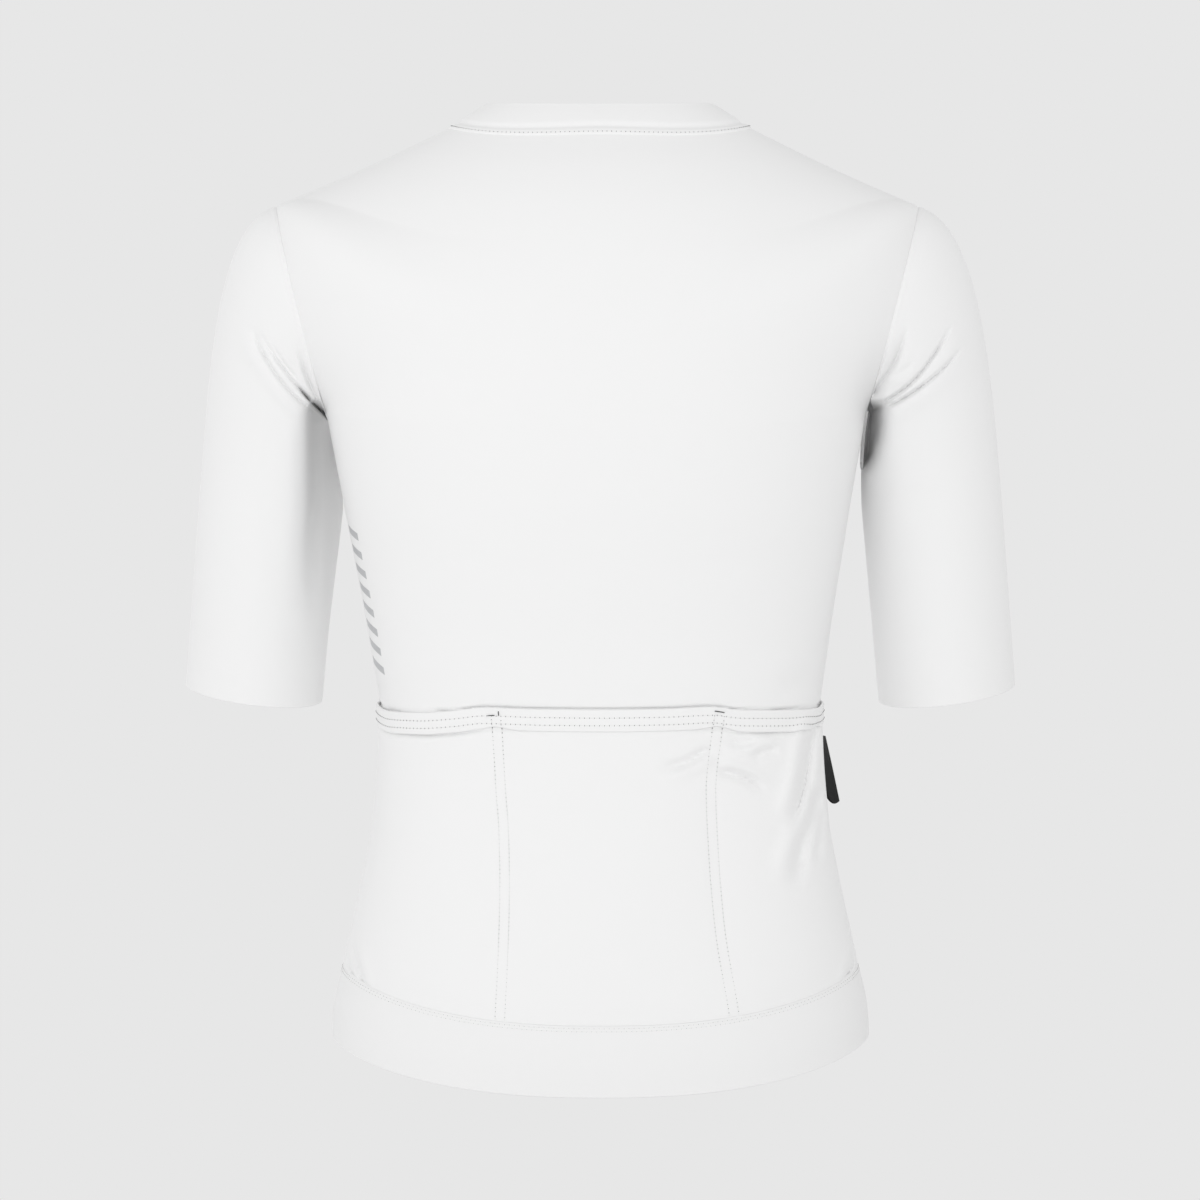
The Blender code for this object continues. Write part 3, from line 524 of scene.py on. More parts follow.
def spaced(count: int, low: bool = True, high: bool = True, reach: float = 0.06,
           closeness: float = 0.22, spot: Sizes = (0.5, 1.0, 1.0)) -> Array:
    """Positions from 0 to 1 that lie closer together near the named ends and at a spot.

    Args:
        count: number of intervals.
        low: whether they crowd at 0.
        high: whether they crowd at 1.
        reach: share of the way over which they crowd.
        closeness: first interval as a share of a middle one.
        spot: middle and reach of a place where they lie closer, and an interval there as a
            share of one elsewhere.

    Returns:
        The positions.
    """
    middle = (np.arange(count) + 0.5) / count
    near = np.minimum(middle if low else 1 + middle, 1 - middle if high else 1.0)
    weight = closeness + (1 - closeness) * ease(near / reach)
    weight *= 1 - (1 - spot[2]) * bell(middle - spot[0], spot[1])
    return np.concatenate([[0.0], np.cumsum(weight)]) / weight.sum()


@dataclass
class Sheet:
    """A grid of cloth points in millimetres, rows running up and columns to the right.

    normals point out of the cloth's outer side. across and up are lengths along the cloth.
    """

    points: Array
    normals: Array = field(init=False)
    across: Array = field(init=False)
    up: Array = field(init=False)

    def __post_init__(self) -> None:
        """Works out the normals and the lengths along the cloth."""
        self.normals = unit(np.cross(np.gradient(self.points, axis=1),
                                     np.gradient(self.points, axis=0)))
        self.across, self.up = run_lengths(self.points, 1), run_lengths(self.points, 0)

    def press(self, sunk: Array) -> None:
        """Moves the cloth inwards along its normals."""
        self.points = self.points - self.normals * sunk[..., None]

    def crease(self, creases: Sequence[Crease], face: Face, clear: Sequence[Edge] = ()) -> None:
        """Sinks creases straight into the part of the cloth that faces backwards or forwards.

        Args:
            creases: the creases.
            face: the way the creased cloth faces.
            clear: edges near which the creases fade out, so that the seam stays closed.
        """
        share = ease(self.normals[..., 1] * face.value / FACING)
        for edge in clear:
            share = share * ease(self.distance_from(edge) / SEAM_CLEARANCE)
        self.pull(creases, face, share)

    def pull(self, creases: Sequence[Crease], face: Face, share: Array,
             aside: float = 0.0) -> None:
        """Moves the cloth straight away from the viewer, by the creases times a share.

        Args:
            creases: the creases.
            face: the way the creased cloth faces.
            share: share of the creases at each point.
            aside: how far it moves to the left for each millimetre it sinks.
        """
        sunk = sum(crease.sink(self.points) for crease in creases) * share
        self.points[..., 1] -= sunk * face.value
        self.points[..., 0] += sunk * aside

    def distance_from(self, edge: Edge) -> Array:
        """Length along the cloth from one edge to each point.

        Args:
            edge: the edge.

        Returns:
            The lengths.
        """
        if edge is Edge.FIRST_ROW:
            return self.up
        if edge is Edge.LAST_ROW:
            return self.up[-1] - self.up
        return self.across if edge is Edge.FIRST_COLUMN else self.across[:, -1:] - self.across

    def from_sides(self) -> Array:
        """Length along the cloth from the nearer column edge to each point."""
        return np.minimum(*(self.distance_from(edge) for edge in SIDES))

    def groove(self, edges: Sequence[Edge], width: float = 1.1, depth: float = 0.3) -> None:
        """Turns edges inwards as at a sewn seam."""
        for edge in edges:
            self.press(depth * bell(self.distance_from(edge), width))

    def at(self, row: Array, column: Array) -> tuple[Array, Array]:
        """Points and normals at fractional grid places, blended from the four beside them.

        Args:
            row: the rows.
            column: the columns, as many.

        Returns:
            The points and normals.
        """
        rows, columns = self.points.shape[:2]
        r = np.clip(np.floor(row), 0, rows - 2).astype(int)
        c = np.clip(np.floor(column), 0, columns - 2).astype(int)
        u, v = (row - r)[..., None], (column - c)[..., None]
        points, normals = [(g[r, c] * (1 - v) + g[r, c + 1] * v) * (1 - u)
                           + (g[r + 1, c] * (1 - v) + g[r + 1, c + 1] * v) * u
                           for g in (self.points, self.normals)]
        return points, unit(normals)

    def rows_between(self, share: Array, low: Any, high: Array) -> "Sheet":
        """The cloth between two fractional rows given by column, at shares of the way up.

        Args:
            share: shares of the way.
            low: the lower row.
            high: the upper row.

        Returns:
            The sheet between them.
        """
        rows = low + (high - low) * share[:, None]
        columns = np.arange(self.points.shape[1], dtype=float)
        return Sheet(self.at(rows, np.broadcast_to(columns, rows.shape))[0])

    def row_at(self, edge: Edge, distance: Any) -> Array:
        """Fractional row at a length along the cloth from the first or last row, by column.

        Args:
            edge: the row to measure from.
            distance: one length, or one for each column.

        Returns:
            The rows.
        """
        walked = self.distance_from(edge)
        number = np.arange(len(walked), dtype=float)
        if edge is Edge.LAST_ROW:
            walked, number = walked[::-1], number[::-1]
        distance = np.broadcast_to(distance, walked.shape[1:])
        return np.array([np.interp(d, walked[:, i], number) for i, d in enumerate(distance)])

    def line_along(self, edge: Edge, distance: float) -> tuple[Array, Array]:
        """Points and normals of a line that keeps its distance from the first or last row."""
        columns = np.arange(self.points.shape[1], dtype=float)
        return self.at(self.row_at(edge, distance), columns)

    def line_beside(self, edge: Edge, distance: float) -> tuple[Array, Array]:
        """Points and normals of a line that keeps its distance from a column edge.

        Args:
            edge: the edge.
            distance: the distance along the cloth.

        Returns:
            The points and normals.
        """
        walked = self.distance_from(edge)
        number = np.arange(walked.shape[1], dtype=float)
        if edge is Edge.LAST_COLUMN:
            walked, number = walked[:, ::-1], number[::-1]
        column = np.array([np.interp(distance, row, number) for row in walked])
        return self.at(np.arange(len(walked), dtype=float), column)

    def flat_size(self) -> tuple[float, float, float]:
        """Size of the flat cut.

        Returns:
            Its greatest width and length in metres and its area in square metres.
        """
        grid = self.points
        one = np.cross(grid[1:, 1:] - grid[:-1, :-1], grid[1:, :-1] - grid[:-1, 1:])
        area = np.linalg.norm(one, axis=-1).sum() / 2
        return self.across[:, -1].max() * MM, self.up[-1].max() * MM, area * MM * MM

    def wall(self, name: str, thickness: float, finish: "Finish", bulge: float = 0.3) -> Any:
        """The sheet as a closed wall: outer skin, inner skin and a rounded rim.

        The inner skin lies one thickness behind. The rim is two strips that meet on a line
        half way through the wall, moved out of the edge by the bulge.

        Args:
            name: the piece's name.
            thickness: the wall's thickness.
            finish: the material it is dressed with.
            bulge: how far the rim rounds out, as a share of the thickness.

        Returns:
            The object.
        """
        number = self.across.size
        outer = self.points.reshape(-1, 3)
        inner = outer - self.normals.reshape(-1, 3) * thickness
        uv = np.stack([self.across, self.up], axis=-1).reshape(-1, 2) / UV_UNIT
        skin, loop = grid_quads(*self.across.shape)
        inward = self.inward_ways().reshape(-1, 3)[loop]
        middle = (outer[loop] + inner[loop]) / 2 - inward * thickness * bulge
        rim = 2 * number + np.arange(len(loop))
        after, rim_after = np.roll(loop, -1), np.roll(rim, -1)
        faces = [skin, skin[:, ::-1] + number,
                 np.stack([after, loop, rim, rim_after], axis=-1),
                 np.stack([rim_after, rim, loop + number, after + number], axis=-1)]
        strip = np.stack([uv[after], uv[loop], uv[loop], uv[after]], axis=1)
        corners = [uv[skin], uv[skin][:, ::-1], strip, strip]
        return make_mesh(name, np.concatenate([outer, inner, middle]), np.concatenate(faces),
                         finish, uv=np.concatenate(corners))

    def inward_ways(self) -> Array:
        """Direction from each edge point into the cloth, square to the edge.

        Returns:
            The directions, zero away from the edges.
        """
        ways = np.zeros_like(self.points)
        ways[0] += unit(self.points[1] - self.points[0])
        ways[-1] += unit(self.points[-2] - self.points[-1])
        ways[:, 0] += unit(self.points[:, 1] - self.points[:, 0])
        ways[:, -1] += unit(self.points[:, -2] - self.points[:, -1])
        length = np.linalg.norm(ways, axis=-1, keepdims=True)
        return ways / np.maximum(length, 1)


SHARP = math.radians(50)       # an edge with a greater angle is kept sharp


def make_mesh(name: str, vertices: Array, faces: Array, finish: "Finish",
              uv: Array | None = None) -> Any:
    """A smooth-shaded object from points in millimetres and quads.

    Args:
        name: the piece's name.
        vertices: points, one row each.
        faces: four vertex numbers a row.
        finish: the material it is dressed with.
        uv: UV of each corner of each face.

    Returns:
        The object.
    """
    mesh = bpy.data.meshes.new(name)
    corners = faces.shape[1]
    mesh.vertices.add(len(vertices))
    mesh.vertices.foreach_set("co", (vertices * MM).astype(np.float32).ravel())
    mesh.loops.add(faces.size)
    mesh.loops.foreach_set("vertex_index", faces.astype(np.int32).ravel())
    mesh.polygons.add(len(faces))
    mesh.polygons.foreach_set("loop_start",
                              np.arange(0, faces.size, corners).astype(np.int32))
    mesh.update(calc_edges=True)
    if uv is not None:
        layer = mesh.uv_layers.new(name="cloth")
        layer.data.foreach_set("uv", uv.astype(np.float32).ravel())
    mesh.validate()
    mesh.shade_smooth()
    mesh.set_sharp_from_angle(angle=SHARP)
    mesh.materials.append(finish.material())
    item = bpy.data.objects.new(name, mesh)
    bpy.context.scene.collection.objects.link(item)
    return item


# ---- Thread --------------------------------------------------------------------------------------
STRAND_SIDES = 6
STRAND_ENDS = ((0, 1, 2, 3), (3, 4, 5, 0))     # the two quads that close a strand's end


@dataclass(frozen=True)
class Stitches:
    """Rows of straight stitches: short bowed strands that dip into the cloth at both ends."""

    length: float = 1.35
    gap: float = 0.75
    thread: float = 0.36
    lift: float = -0.02
    #               place along and radius, both as shares
    strand: Table = ((-0.5, 0.35), (-0.36, 0.9), (0.0, 1.0), (0.36, 0.9), (0.5, 0.35))
    # A needle hole is drawn as a sunk bead coloured dark grey as painted shade.
    hole: float = 0.72             # length of a needle hole, 0 for none
    pit: Table = ((-0.5, 0.4), (0.0, 1.0), (0.5, 0.4))
    pit_width: float = 0.9         # width and depth of a hole's dark bead, in its lengths
    pit_depth: float = 0.36
    dip: float = 0.6               # a strand's ends lie this many radii under the cloth

    def build(self, name: str, paths: Sequence[tuple[Array, Array]], slot: str,
              finish: "Finish | None" = None) -> None:
        """Adds the strands, and in each gap between them a dark bead of painted shade that marks a
        needle hole.

        Args:
            name: start of the pieces' names.
            paths: points of a line on the cloth and the cloth's normals there, for each row.
            slot: the material slot.
            finish: the strands' material, white thread if left out.
        """
        add_piece(name, *self.mesh(paths), finish or THREAD, slot)
        if self.hole:
            dots = Stitches(self.hole, self.length + self.gap - self.hole,
                            self.hole * self.pit_width, -self.pit_depth * self.hole, self.pit)
            shift = (self.length + self.gap) / 2
            moved = [cut_start(line, shift) for line in paths]
            # The beads are coloured dark grey: painted shade in each needle hole.
            add_piece(f"{name}_painted_hole_shade", *dots.mesh(moved), PAINTED_HOLE_SHADE, slot)

    def mesh(self, paths: Sequence[tuple[Array, Array]]) -> tuple[Array, Array]:
        """Vertices and faces of the stitches along each path.

        A strand is a row of hexagons along the path. Its middle lies a radius over the cloth
        and its ends dip under it. In radii, the height falls from one at the middle by one
        and the dip, with the square of the way to the end. The lift is added.

        Args:
            paths: points of a line on the cloth and the cloth's normals there, for each row.

        Returns:
            Vertices and quads.
        """
        template = np.array(self.strand)
        angle = np.arange(STRAND_SIDES) * 2 * np.pi / STRAND_SIDES
        pitch = self.length + self.gap
        bow = 1 - (2 * template[:, 0]) ** 2
        height = self.lift + self.thread / 2 * ((1 + self.dip) * bow - self.dip)
        radius = template[:, 1] * self.thread / 2
        vertices = []
        for points, normals in paths:
            walked = run_lengths(points, 0)
            centre = (np.arange(max(1, int(walked[-1] / pitch))) + 0.5) * pitch
            along = centre[:, None] + template[:, 0] * self.length
            spot = read_along(points, walked, along)
            out = unit(read_along(normals, walked, along))
            side = unit(np.cross(unit(np.gradient(spot, axis=1)), out))
            spot = spot + out * height[None, :, None]
            ring = (side[:, :, None] * np.cos(angle)[:, None]
                    + out[:, :, None] * np.sin(angle)[:, None])
            vertices.append(spot[:, :, None] + ring * radius[None, :, None, None])
        strands = np.concatenate(vertices)
        one = np.arange(strands[0].size // 3).reshape(len(template), STRAND_SIDES)
        turned = np.roll(one, -1, axis=1)
        quads = np.stack([one[:-1], turned[:-1], turned[1:], one[1:]], axis=-1).reshape(-1, 4)
        ends = [rim[list(end)][::-flip] for rim, flip in ((one[0], 1), (one[-1], -1))
                for end in STRAND_ENDS]
        quads = np.concatenate([quads, np.array(ends)])
        start = np.arange(len(strands))[:, None, None] * one.size
        return strands.reshape(-1, 3), (quads + start).reshape(-1, 4)


def cut_start(line: tuple[Array, Array], length: float) -> tuple[Array, Array]:
    """A line without its first part of that length.

    Args:
        line: its points and normals.
        length: length of the part.

    Returns:
        Points and normals of the rest.
    """
    points, normals = line
    walked = run_lengths(points, 0)
    first = read_along(points, walked, length)
    kept = walked > length
    return (np.concatenate([first[None], points[kept]]),
            np.concatenate([normals[kept][:1], normals[kept]]))


# ---- Finishes ------------------------------------------------------------------------------------
def linear(code: str) -> tuple[float, float, float, float]:
    """An sRGB hex colour as linear red, green, blue and alpha."""
    values = [int(code[i:i + 2], 16) / 255 for i in (0, 2, 4)]
    return (*(v / 12.92 if v <= 0.04045 else ((v + 0.055) / 1.055) ** 2.4 for v in values), 1.0)


def add_node(tree: Any, kind: str, inputs: dict[Any, Any], **settings: Any) -> Any:
    """Adds a node to a tree.

    Args:
        tree: the node tree.
        kind: the node's type name.
        inputs: a value or a socket to link for each input, by name or number.
        settings: attributes of the node.

    Returns:
        The node.
    """
    node = tree.nodes.new(kind)
    for key, value in settings.items():
        setattr(node, key, value)
    for key, value in inputs.items():
        if isinstance(value, bpy.types.NodeSocket):
            tree.links.new(value, node.inputs[key])
        else:
            node.inputs[key].default_value = value
    return node


WAVE_PERIOD = math.pi / 10     # period of the wave texture at scale one


@dataclass(frozen=True)
class Finish:
    """A finish of one colour. Finishes with a pattern add it in dress()."""

    name: str
    colour: str
    roughness: float = 0.8
    sheen: float = 0.0

    def material(self) -> Any:
        """The finish's material, made at its first use.

        Returns:
            The material.
        """
        known = bpy.data.materials.get(self.name)
        if known:
            return known
        material = bpy.data.materials.new(self.name)
        material.use_nodes = True
        shader = material.node_tree.nodes["Principled BSDF"]
        shader.inputs["Base Color"].default_value = linear(self.colour)
        shader.inputs["Roughness"].default_value = self.roughness
        shader.inputs["Sheen Weight"].default_value = self.sheen
        self.dress(material.node_tree, shader)
        return material

    def dress(self, tree: Any, shader: Any) -> None:
        """Adds the finish's pattern to its shader."""


@dataclass(frozen=True)
class Knit(Finish):
    """Knitted or woven cloth: columns crossed by courses, mottled by uneven yarn.

    The bump is the product of a wave across and one along the cloth, plus noise. The colour
    darkens towards low places of the noise.
    """

    low_colour: str = "E4E4E3"
    column_pitch: float = 0.9
    course_pitch: float = 0.7
    column_share: float = 0.5      # how much of the bump is plain columns, as in a rib
    mottle_size: float = 1.6
    mottle_range: Sizes = (0.3, 0.7)  # the noise's values for low and full colour
    relief: float = 0.12
    soft_relief: float = 0.10

    def dress(self, tree: Any, shader: Any) -> None:
        """Adds bump and mottling in millimetres of cloth.

        Args:
            tree: the material's node tree.
            shader: its shader.
        """
        place = add_node(tree, "ShaderNodeUVMap", {}, uv_map="cloth").outputs["UV"]
        flat = add_node(tree, "ShaderNodeVectorMath", {0: place, 1: (UV_UNIT,) * 3},
                        operation="MULTIPLY").outputs[0]
        waves = [add_node(tree, "ShaderNodeTexWave", {"Vector": flat, "Scale": WAVE_PERIOD / p},
                          bands_direction=d).outputs["Fac"]
                 for d, p in (("X", self.column_pitch), ("Y", self.course_pitch))]
        crossed = add_node(tree, "ShaderNodeMath", {0: waves[0], 1: waves[1]},
                           operation="MULTIPLY").outputs[0]
        pattern = add_node(tree, "ShaderNodeMapRange",
                           {"Value": self.column_share, "To Min": crossed, "To Max": waves[0]})
        noise = add_node(tree, "ShaderNodeTexNoise",
                         {"Vector": flat, "Scale": 1 / self.mottle_size, "Detail": 2.0})
        fine = add_node(tree, "ShaderNodeBump", {"Height": pattern.outputs[0], "Strength": 1.0,
                                                 "Distance": self.relief * MM})
        soft = add_node(tree, "ShaderNodeBump",
                        {"Height": noise.outputs["Fac"], "Strength": 1.0,
                         "Distance": self.soft_relief * MM, "Normal": fine.outputs[0]})
        tree.links.new(soft.outputs[0], shader.inputs["Normal"])
        low, full = self.mottle_range
        tint = add_node(tree, "ShaderNodeMapRange",
                        {"Value": noise.outputs["Fac"], "From Min": low, "From Max": full})
        colour = add_node(tree, "ShaderNodeMixRGB",
                          {"Fac": tint.outputs[0], "Color1": linear(self.low_colour),
                           "Color2": linear(self.colour)})
        tree.links.new(colour.outputs[0], shader.inputs["Base Color"])


# Warp-knitted polyester: matt white, very fine grain.
WHITE_KNIT = Knit("white_knit", "ECECEB", 0.8, 0.05)
# Rib-knitted elastic gripper: white, close upright ribs.
RIBBED_BAND = Knit("ribbed_band", "EBEBEA", 0.8, 0.05, low_colour="E1E1E0", column_pitch=1.5,
                   course_pitch=0.8, column_share=0.85, relief=0.3)
# Woven polyester label: near-black, upright weave.
BLACK_LABEL = Knit("black_woven_tag", "27272A", 0.55, 0.1, low_colour="17171A",
                   column_pitch=0.6, course_pitch=0.5, column_share=0.7, relief=0.16)
# Woven polyester zip tape: white, flat, fine herringbone.
ZIP_TAPE = Knit("white_zip_tape", "EDEDEB", 0.7, 0.0, low_colour="E2E2E0", column_pitch=1.1,
                course_pitch=0.5, relief=0.1)
# Spun polyester sewing thread: white with a faint lustre.
THREAD = Finish("white_thread", "EDEDEC", 0.55, 0.2)
# The same white thread packed tight in a bartack, coloured dark grey as painted shade so that it
# reads grey against the cloth.
THREAD_PAINTED_SHADE = Finish("thread_painted_shade", "4A4A4B", 0.6)
# Nylon monofilament coil: white, slightly glossy.
COIL_NYLON = Finish("white_zip", "EFEFED", 0.35)
# Enamelled zinc: white paint, glossy.
ENAMEL = Finish("white_enamel", "EEEEEC", 0.3)
# Heat-sealed reflective film: mid grey, satin.
REFLECTIVE_FILM = Finish("reflective_film", "BDBEC0", 0.45)
# Needle hole marks: dark grey painted shade for the cloth's pits, which reads as dark dots between
# the stitches.
PAINTED_HOLE_SHADE = Finish("needle_hole_painted_shade", "4C4C4C", 0.9)
# Painted studio floor: pale matt.
STUDIO_FLOOR = Finish("studio_floor", "E7E7E7", 0.9)


# ---- Pieces of the jersey ------------------------------------------------------------------------
@dataclass(frozen=True)
class Slots:
    """Names of the record's material slots."""

    knit: str = "white_knit"
    band: str = "ribbed_band"
    label: str = "black_woven_tag"
    zip: str = "white_zip"


SLOTS = Slots()


def add_cloth(sheet: Sheet, node: str, flat: Sheet | None = None, thickness: float = 0.9,
              finish: Finish = WHITE_KNIT, suffix: str = "cloth") -> Any:
    """Puts a sheet in place of a CAD node and logs the size of its cut.

    Args:
        sheet: the cloth as worn.
        node: the CAD node it stands for, or an empty word.
        flat: the cloth before creasing, whose size is the cut. The sheet itself if left out.
        thickness: the wall's thickness.
        finish: its material.
        suffix: end of the piece's name.

    Returns:
        The object.
    """
    item = sheet.wall(f"{node}_{suffix}", thickness, finish)
    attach(item, JERSEY)
    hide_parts(node)
    width, length, area = (flat or sheet).flat_size()
    LOG.info("%s: cut %.3f x %.3f m, %.4f m2, %d faces", item.name, width, length, area,
             len(item.data.polygons))
    return item


def add_piece(name: str, vertices: Array, faces: Array, finish: Finish, slot: str) -> Any:
    """A piece of small parts that rides on the jersey.

    Args:
        name: the piece's name.
        vertices: points in millimetres.
        faces: quads.
        finish: its material.
        slot: its material slot, which is not used.

    Returns:
        The object.
    """
    item = make_mesh(name, vertices, faces, finish)
    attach(item, JERSEY)
    LOG.info("%s: %d faces", item.name, len(item.data.polygons))
    return item


@dataclass(frozen=True)
class Torso:
    """The back panel and the two fronts, with the seams they share."""

    block: BodyBlock
    row_counts: Sequence[int] = (72, 70, 60, 44)  # from seam to seam
    # Whether rows lie closer at the lower and at the upper seam, and how close they lie there.
    crowded: Sequence[Sequence[bool]] = ((True, True), (True, False), (False, False),
                                         (False, True))
    closeness: float = 0.16
    back_columns: int = 80         # half the back
    front_columns: int = 60
    opening: float = 4.0           # each front's edge stands this far from the centre
    side_groove: Sizes = (0.9, 0.12)  # width and depth
    hem_groove: Sizes = (1.0, 0.5)
    zip_groove: Sizes = (1.2, 0.5)
    zip_inset: float = 2.4         # the zip's row of stitches runs this far from the edge
    zip_stitches: Stitches = Stitches(length=1.7, gap=1.0)
    #                     x, height of the pockets' mouth
    pocket_mouth: Table = ((-137.6, -353.0), (-136, -355.2), (-132.6, -358.4), (-115, -359.3),
                           (-85, -358.9), (-67, -356.9), (-42, -357.9), (0, -358.5),
                           (40, -358.1), (70, -357.3), (90, -359.5), (109, -360.8),
                           (127, -360.4), (134, -358.2), (138.6, -353.6))
    mouth_trough: Sizes = (0.5, 0.8, 1.7)  # above the mouth, width, depth
    trough_fade: float = 7.0       # it begins over this length from the side seams
    # A crease: its line, width, depth, ridge, ridge's side, fade, crisp share and crisp width.
    underarm_creases: Sequence[Crease] = (
        Crease(((166, -196), (150, -214), (128, -226)), 7.0, 1.6),
        Crease(((165, -214), (148, -238), (132, -250)), 8.0, 1.1),
    )
    back_creases: Sequence[Crease] = (
        Crease(((-132, -330), (-122, -342), (-104, -349)), 6.0, 1.0),
    )
    # Shared with the right sleeve: the cloth on both sides of its armhole seam sinks in.
    armpit_hollow: Crease = Crease(((-161, -192), (-163, -172), (-169, -152), (-178, -128)),
                                   7.0, 10.0, 0.0, 1, (0.25, 0.6))
    # Shared with the pocket panel, which lies on the back.
    lower_creases: Sequence[Crease] = (
        Crease(((-137.0, -362.0), (-130.0, -378.6), (-126.5, -397.5), (-121.7, -414.6),
                (-114.0, -433.5)), 4.0, 11.0, 0.4, 1, (0.2, 0.3), 0.3, 1.6),
        Crease(((-136.1, -404.3), (-130.0, -425.4), (-122.9, -444.5), (-116.4, -469.5)),
               4.5, 9.0, 0.4, 1, (0.15, 0.35)),
        Crease(((-138.2, -414.9), (-134.5, -439.0), (-131.1, -454.6)), 3.5, 5.0, 0.3, 1),
        Crease(((-70.7, -395.1), (-84.6, -398.6), (-96.2, -405.6), (-103.0, -412.5)), 2.4, 5.0,
               0.4, -1, (0.15, 0.5)),
        Crease(((-90.8, -389.3), (-98.4, -384.7), (-108.9, -383.1)), 2.6, 3.4, 0.5, -1),
        Crease(((-74.5, -376.5), (-84.0, -378.5), (-96.0, -377.0)), 2.2, 2.6, 0.4, 1),
        Crease(((-33.8, -394.7), (-50.3, -390.5), (-66.5, -381.5)), 2.6, 5.0, 0.4, 1,
               (0.45, 0.12)),
        Crease(((157.4, -498.9), (154.9, -512.7), (149.6, -527.2)), 2.2, 6.0, 0.3, 1,
               (0.3, 0.15), 0.5, 1.0),
        Crease(((152.9, -499), (149.2, -514), (143.2, -529.5)), 2.2, 5.0, 0.3, -1,
               (0.3, 0.15), 0.5, 1.0),
        Crease(((-158.4, -500.9), (-155.4, -513.7), (-149.0, -526)), 2.2, 6.0, 0.3, 1,
               (0.3, 0.15), 0.5, 1.0),
    )
    waist_creases: Sequence[Crease] = (
        Crease(((138, -352), (118, -366), (92, -372)), 8.0, 1.5),
        Crease(((138, -384), (112, -392), (86, -390)), 9.0, 1.2),
        Crease(((-136, -344), (-112, -360), (-80, -364)), 8.0, 1.4),
        Crease(((-138, -376), (-118, -392), (-84, -400)), 9.0, 1.3),
    )

    def rows(self, low: int = 0, high: int = 4) -> Array:
        """Row positions between two seams, close at the hem, the pockets' mouth and the neck.

        Args:
            low: number of the lower seam.
            high: number of the upper seam.

        Returns:
            The positions.
        """
        parts = []
        for i in range(low, high):
            start, end = self.block.stations[i:i + 2]
            step = spaced(self.row_counts[i], *self.crowded[i], closeness=self.closeness)
            parts.append(start + (end - start) * (step if i == low else step[1:]))
        return np.concatenate(parts)

    def half(self, face: Face, rows: Array) -> Array:
        """The left half of the back, or the left front, before leaning.

        Args:
            face: which of them.
            rows: row numbers of the block.

        Returns:
            Grid of points, from the side seam to the centre or the zip.
        """
        if face is Face.BACK:
            return self.block.panel(face, rows, spaced(self.back_columns, high=False))
        return self.block.panel(face, rows, spaced(self.front_columns), self.opening)

    def back(self, rows: Array) -> Sheet:
        """The back's surface from one side seam to the other."""
        half = self.half(Face.BACK, rows)
        return Sheet(self.block.leaned(np.hstack([half, mirrored(half)[:, -2::-1]])))

    def front(self, rows: Array, side: int) -> Sheet:
        """A front's surface, its columns running to the right as seen from outside."""
        half = self.half(Face.FRONT, rows)
        return Sheet(self.block.leaned(half[:, ::-1] if side == 1 else mirrored(half)))

    def ring(self, row: float) -> Array:
        """A row from the left of the zip round the back to its right, before leaning."""
        back, front = (self.half(face, np.array([row]))[0] for face in Face)
        return np.vstack([front[::-1], back[1:], mirrored(back)[-2:0:-1], mirrored(front)])

    def build(self) -> None:
        """Makes the three panels."""
        back = self.back(self.rows())
        flat = self.back(self.rows())
        back.crease([*self.back_creases, *self.lower_creases], Face.BACK)
        above, width, depth = self.mouth_trough
        height = back.points[..., 2] - curve_through(self.pocket_mouth, back.points[..., 0])
        back.press(depth * bell(height - above, width)
                   * ease(back.from_sides() / self.trough_fade))
        back.pull([self.armpit_hollow], Face.BACK, np.ones(back.across.shape))
        back.groove(SIDES, *self.side_groove)
        back.groove([Edge.FIRST_ROW], *self.hem_groove)
        add_cloth(back, "back_panel", flat)
        for side, node in ((1, "front_left"), (-1, "front_right")):
            front = self.front(self.rows(), side)
            flat = self.front(self.rows(), side)
            turned, sewn = SIDES[::side]
            creases = [crease.on_side(side) for crease in self.underarm_creases]
            creases += [crease for crease in self.waist_creases if crease.line[0][0] * side > 0]
            front.crease(creases, Face.FRONT)
            front.groove([Edge.FIRST_ROW, Edge.LAST_ROW, sewn])
            front.groove([turned], *self.zip_groove)
            add_cloth(front, node, flat)
            row = front.line_beside(turned, self.zip_inset)
            self.zip_stitches.build(f"{node}_zip_stitches", [row], SLOTS.knit)


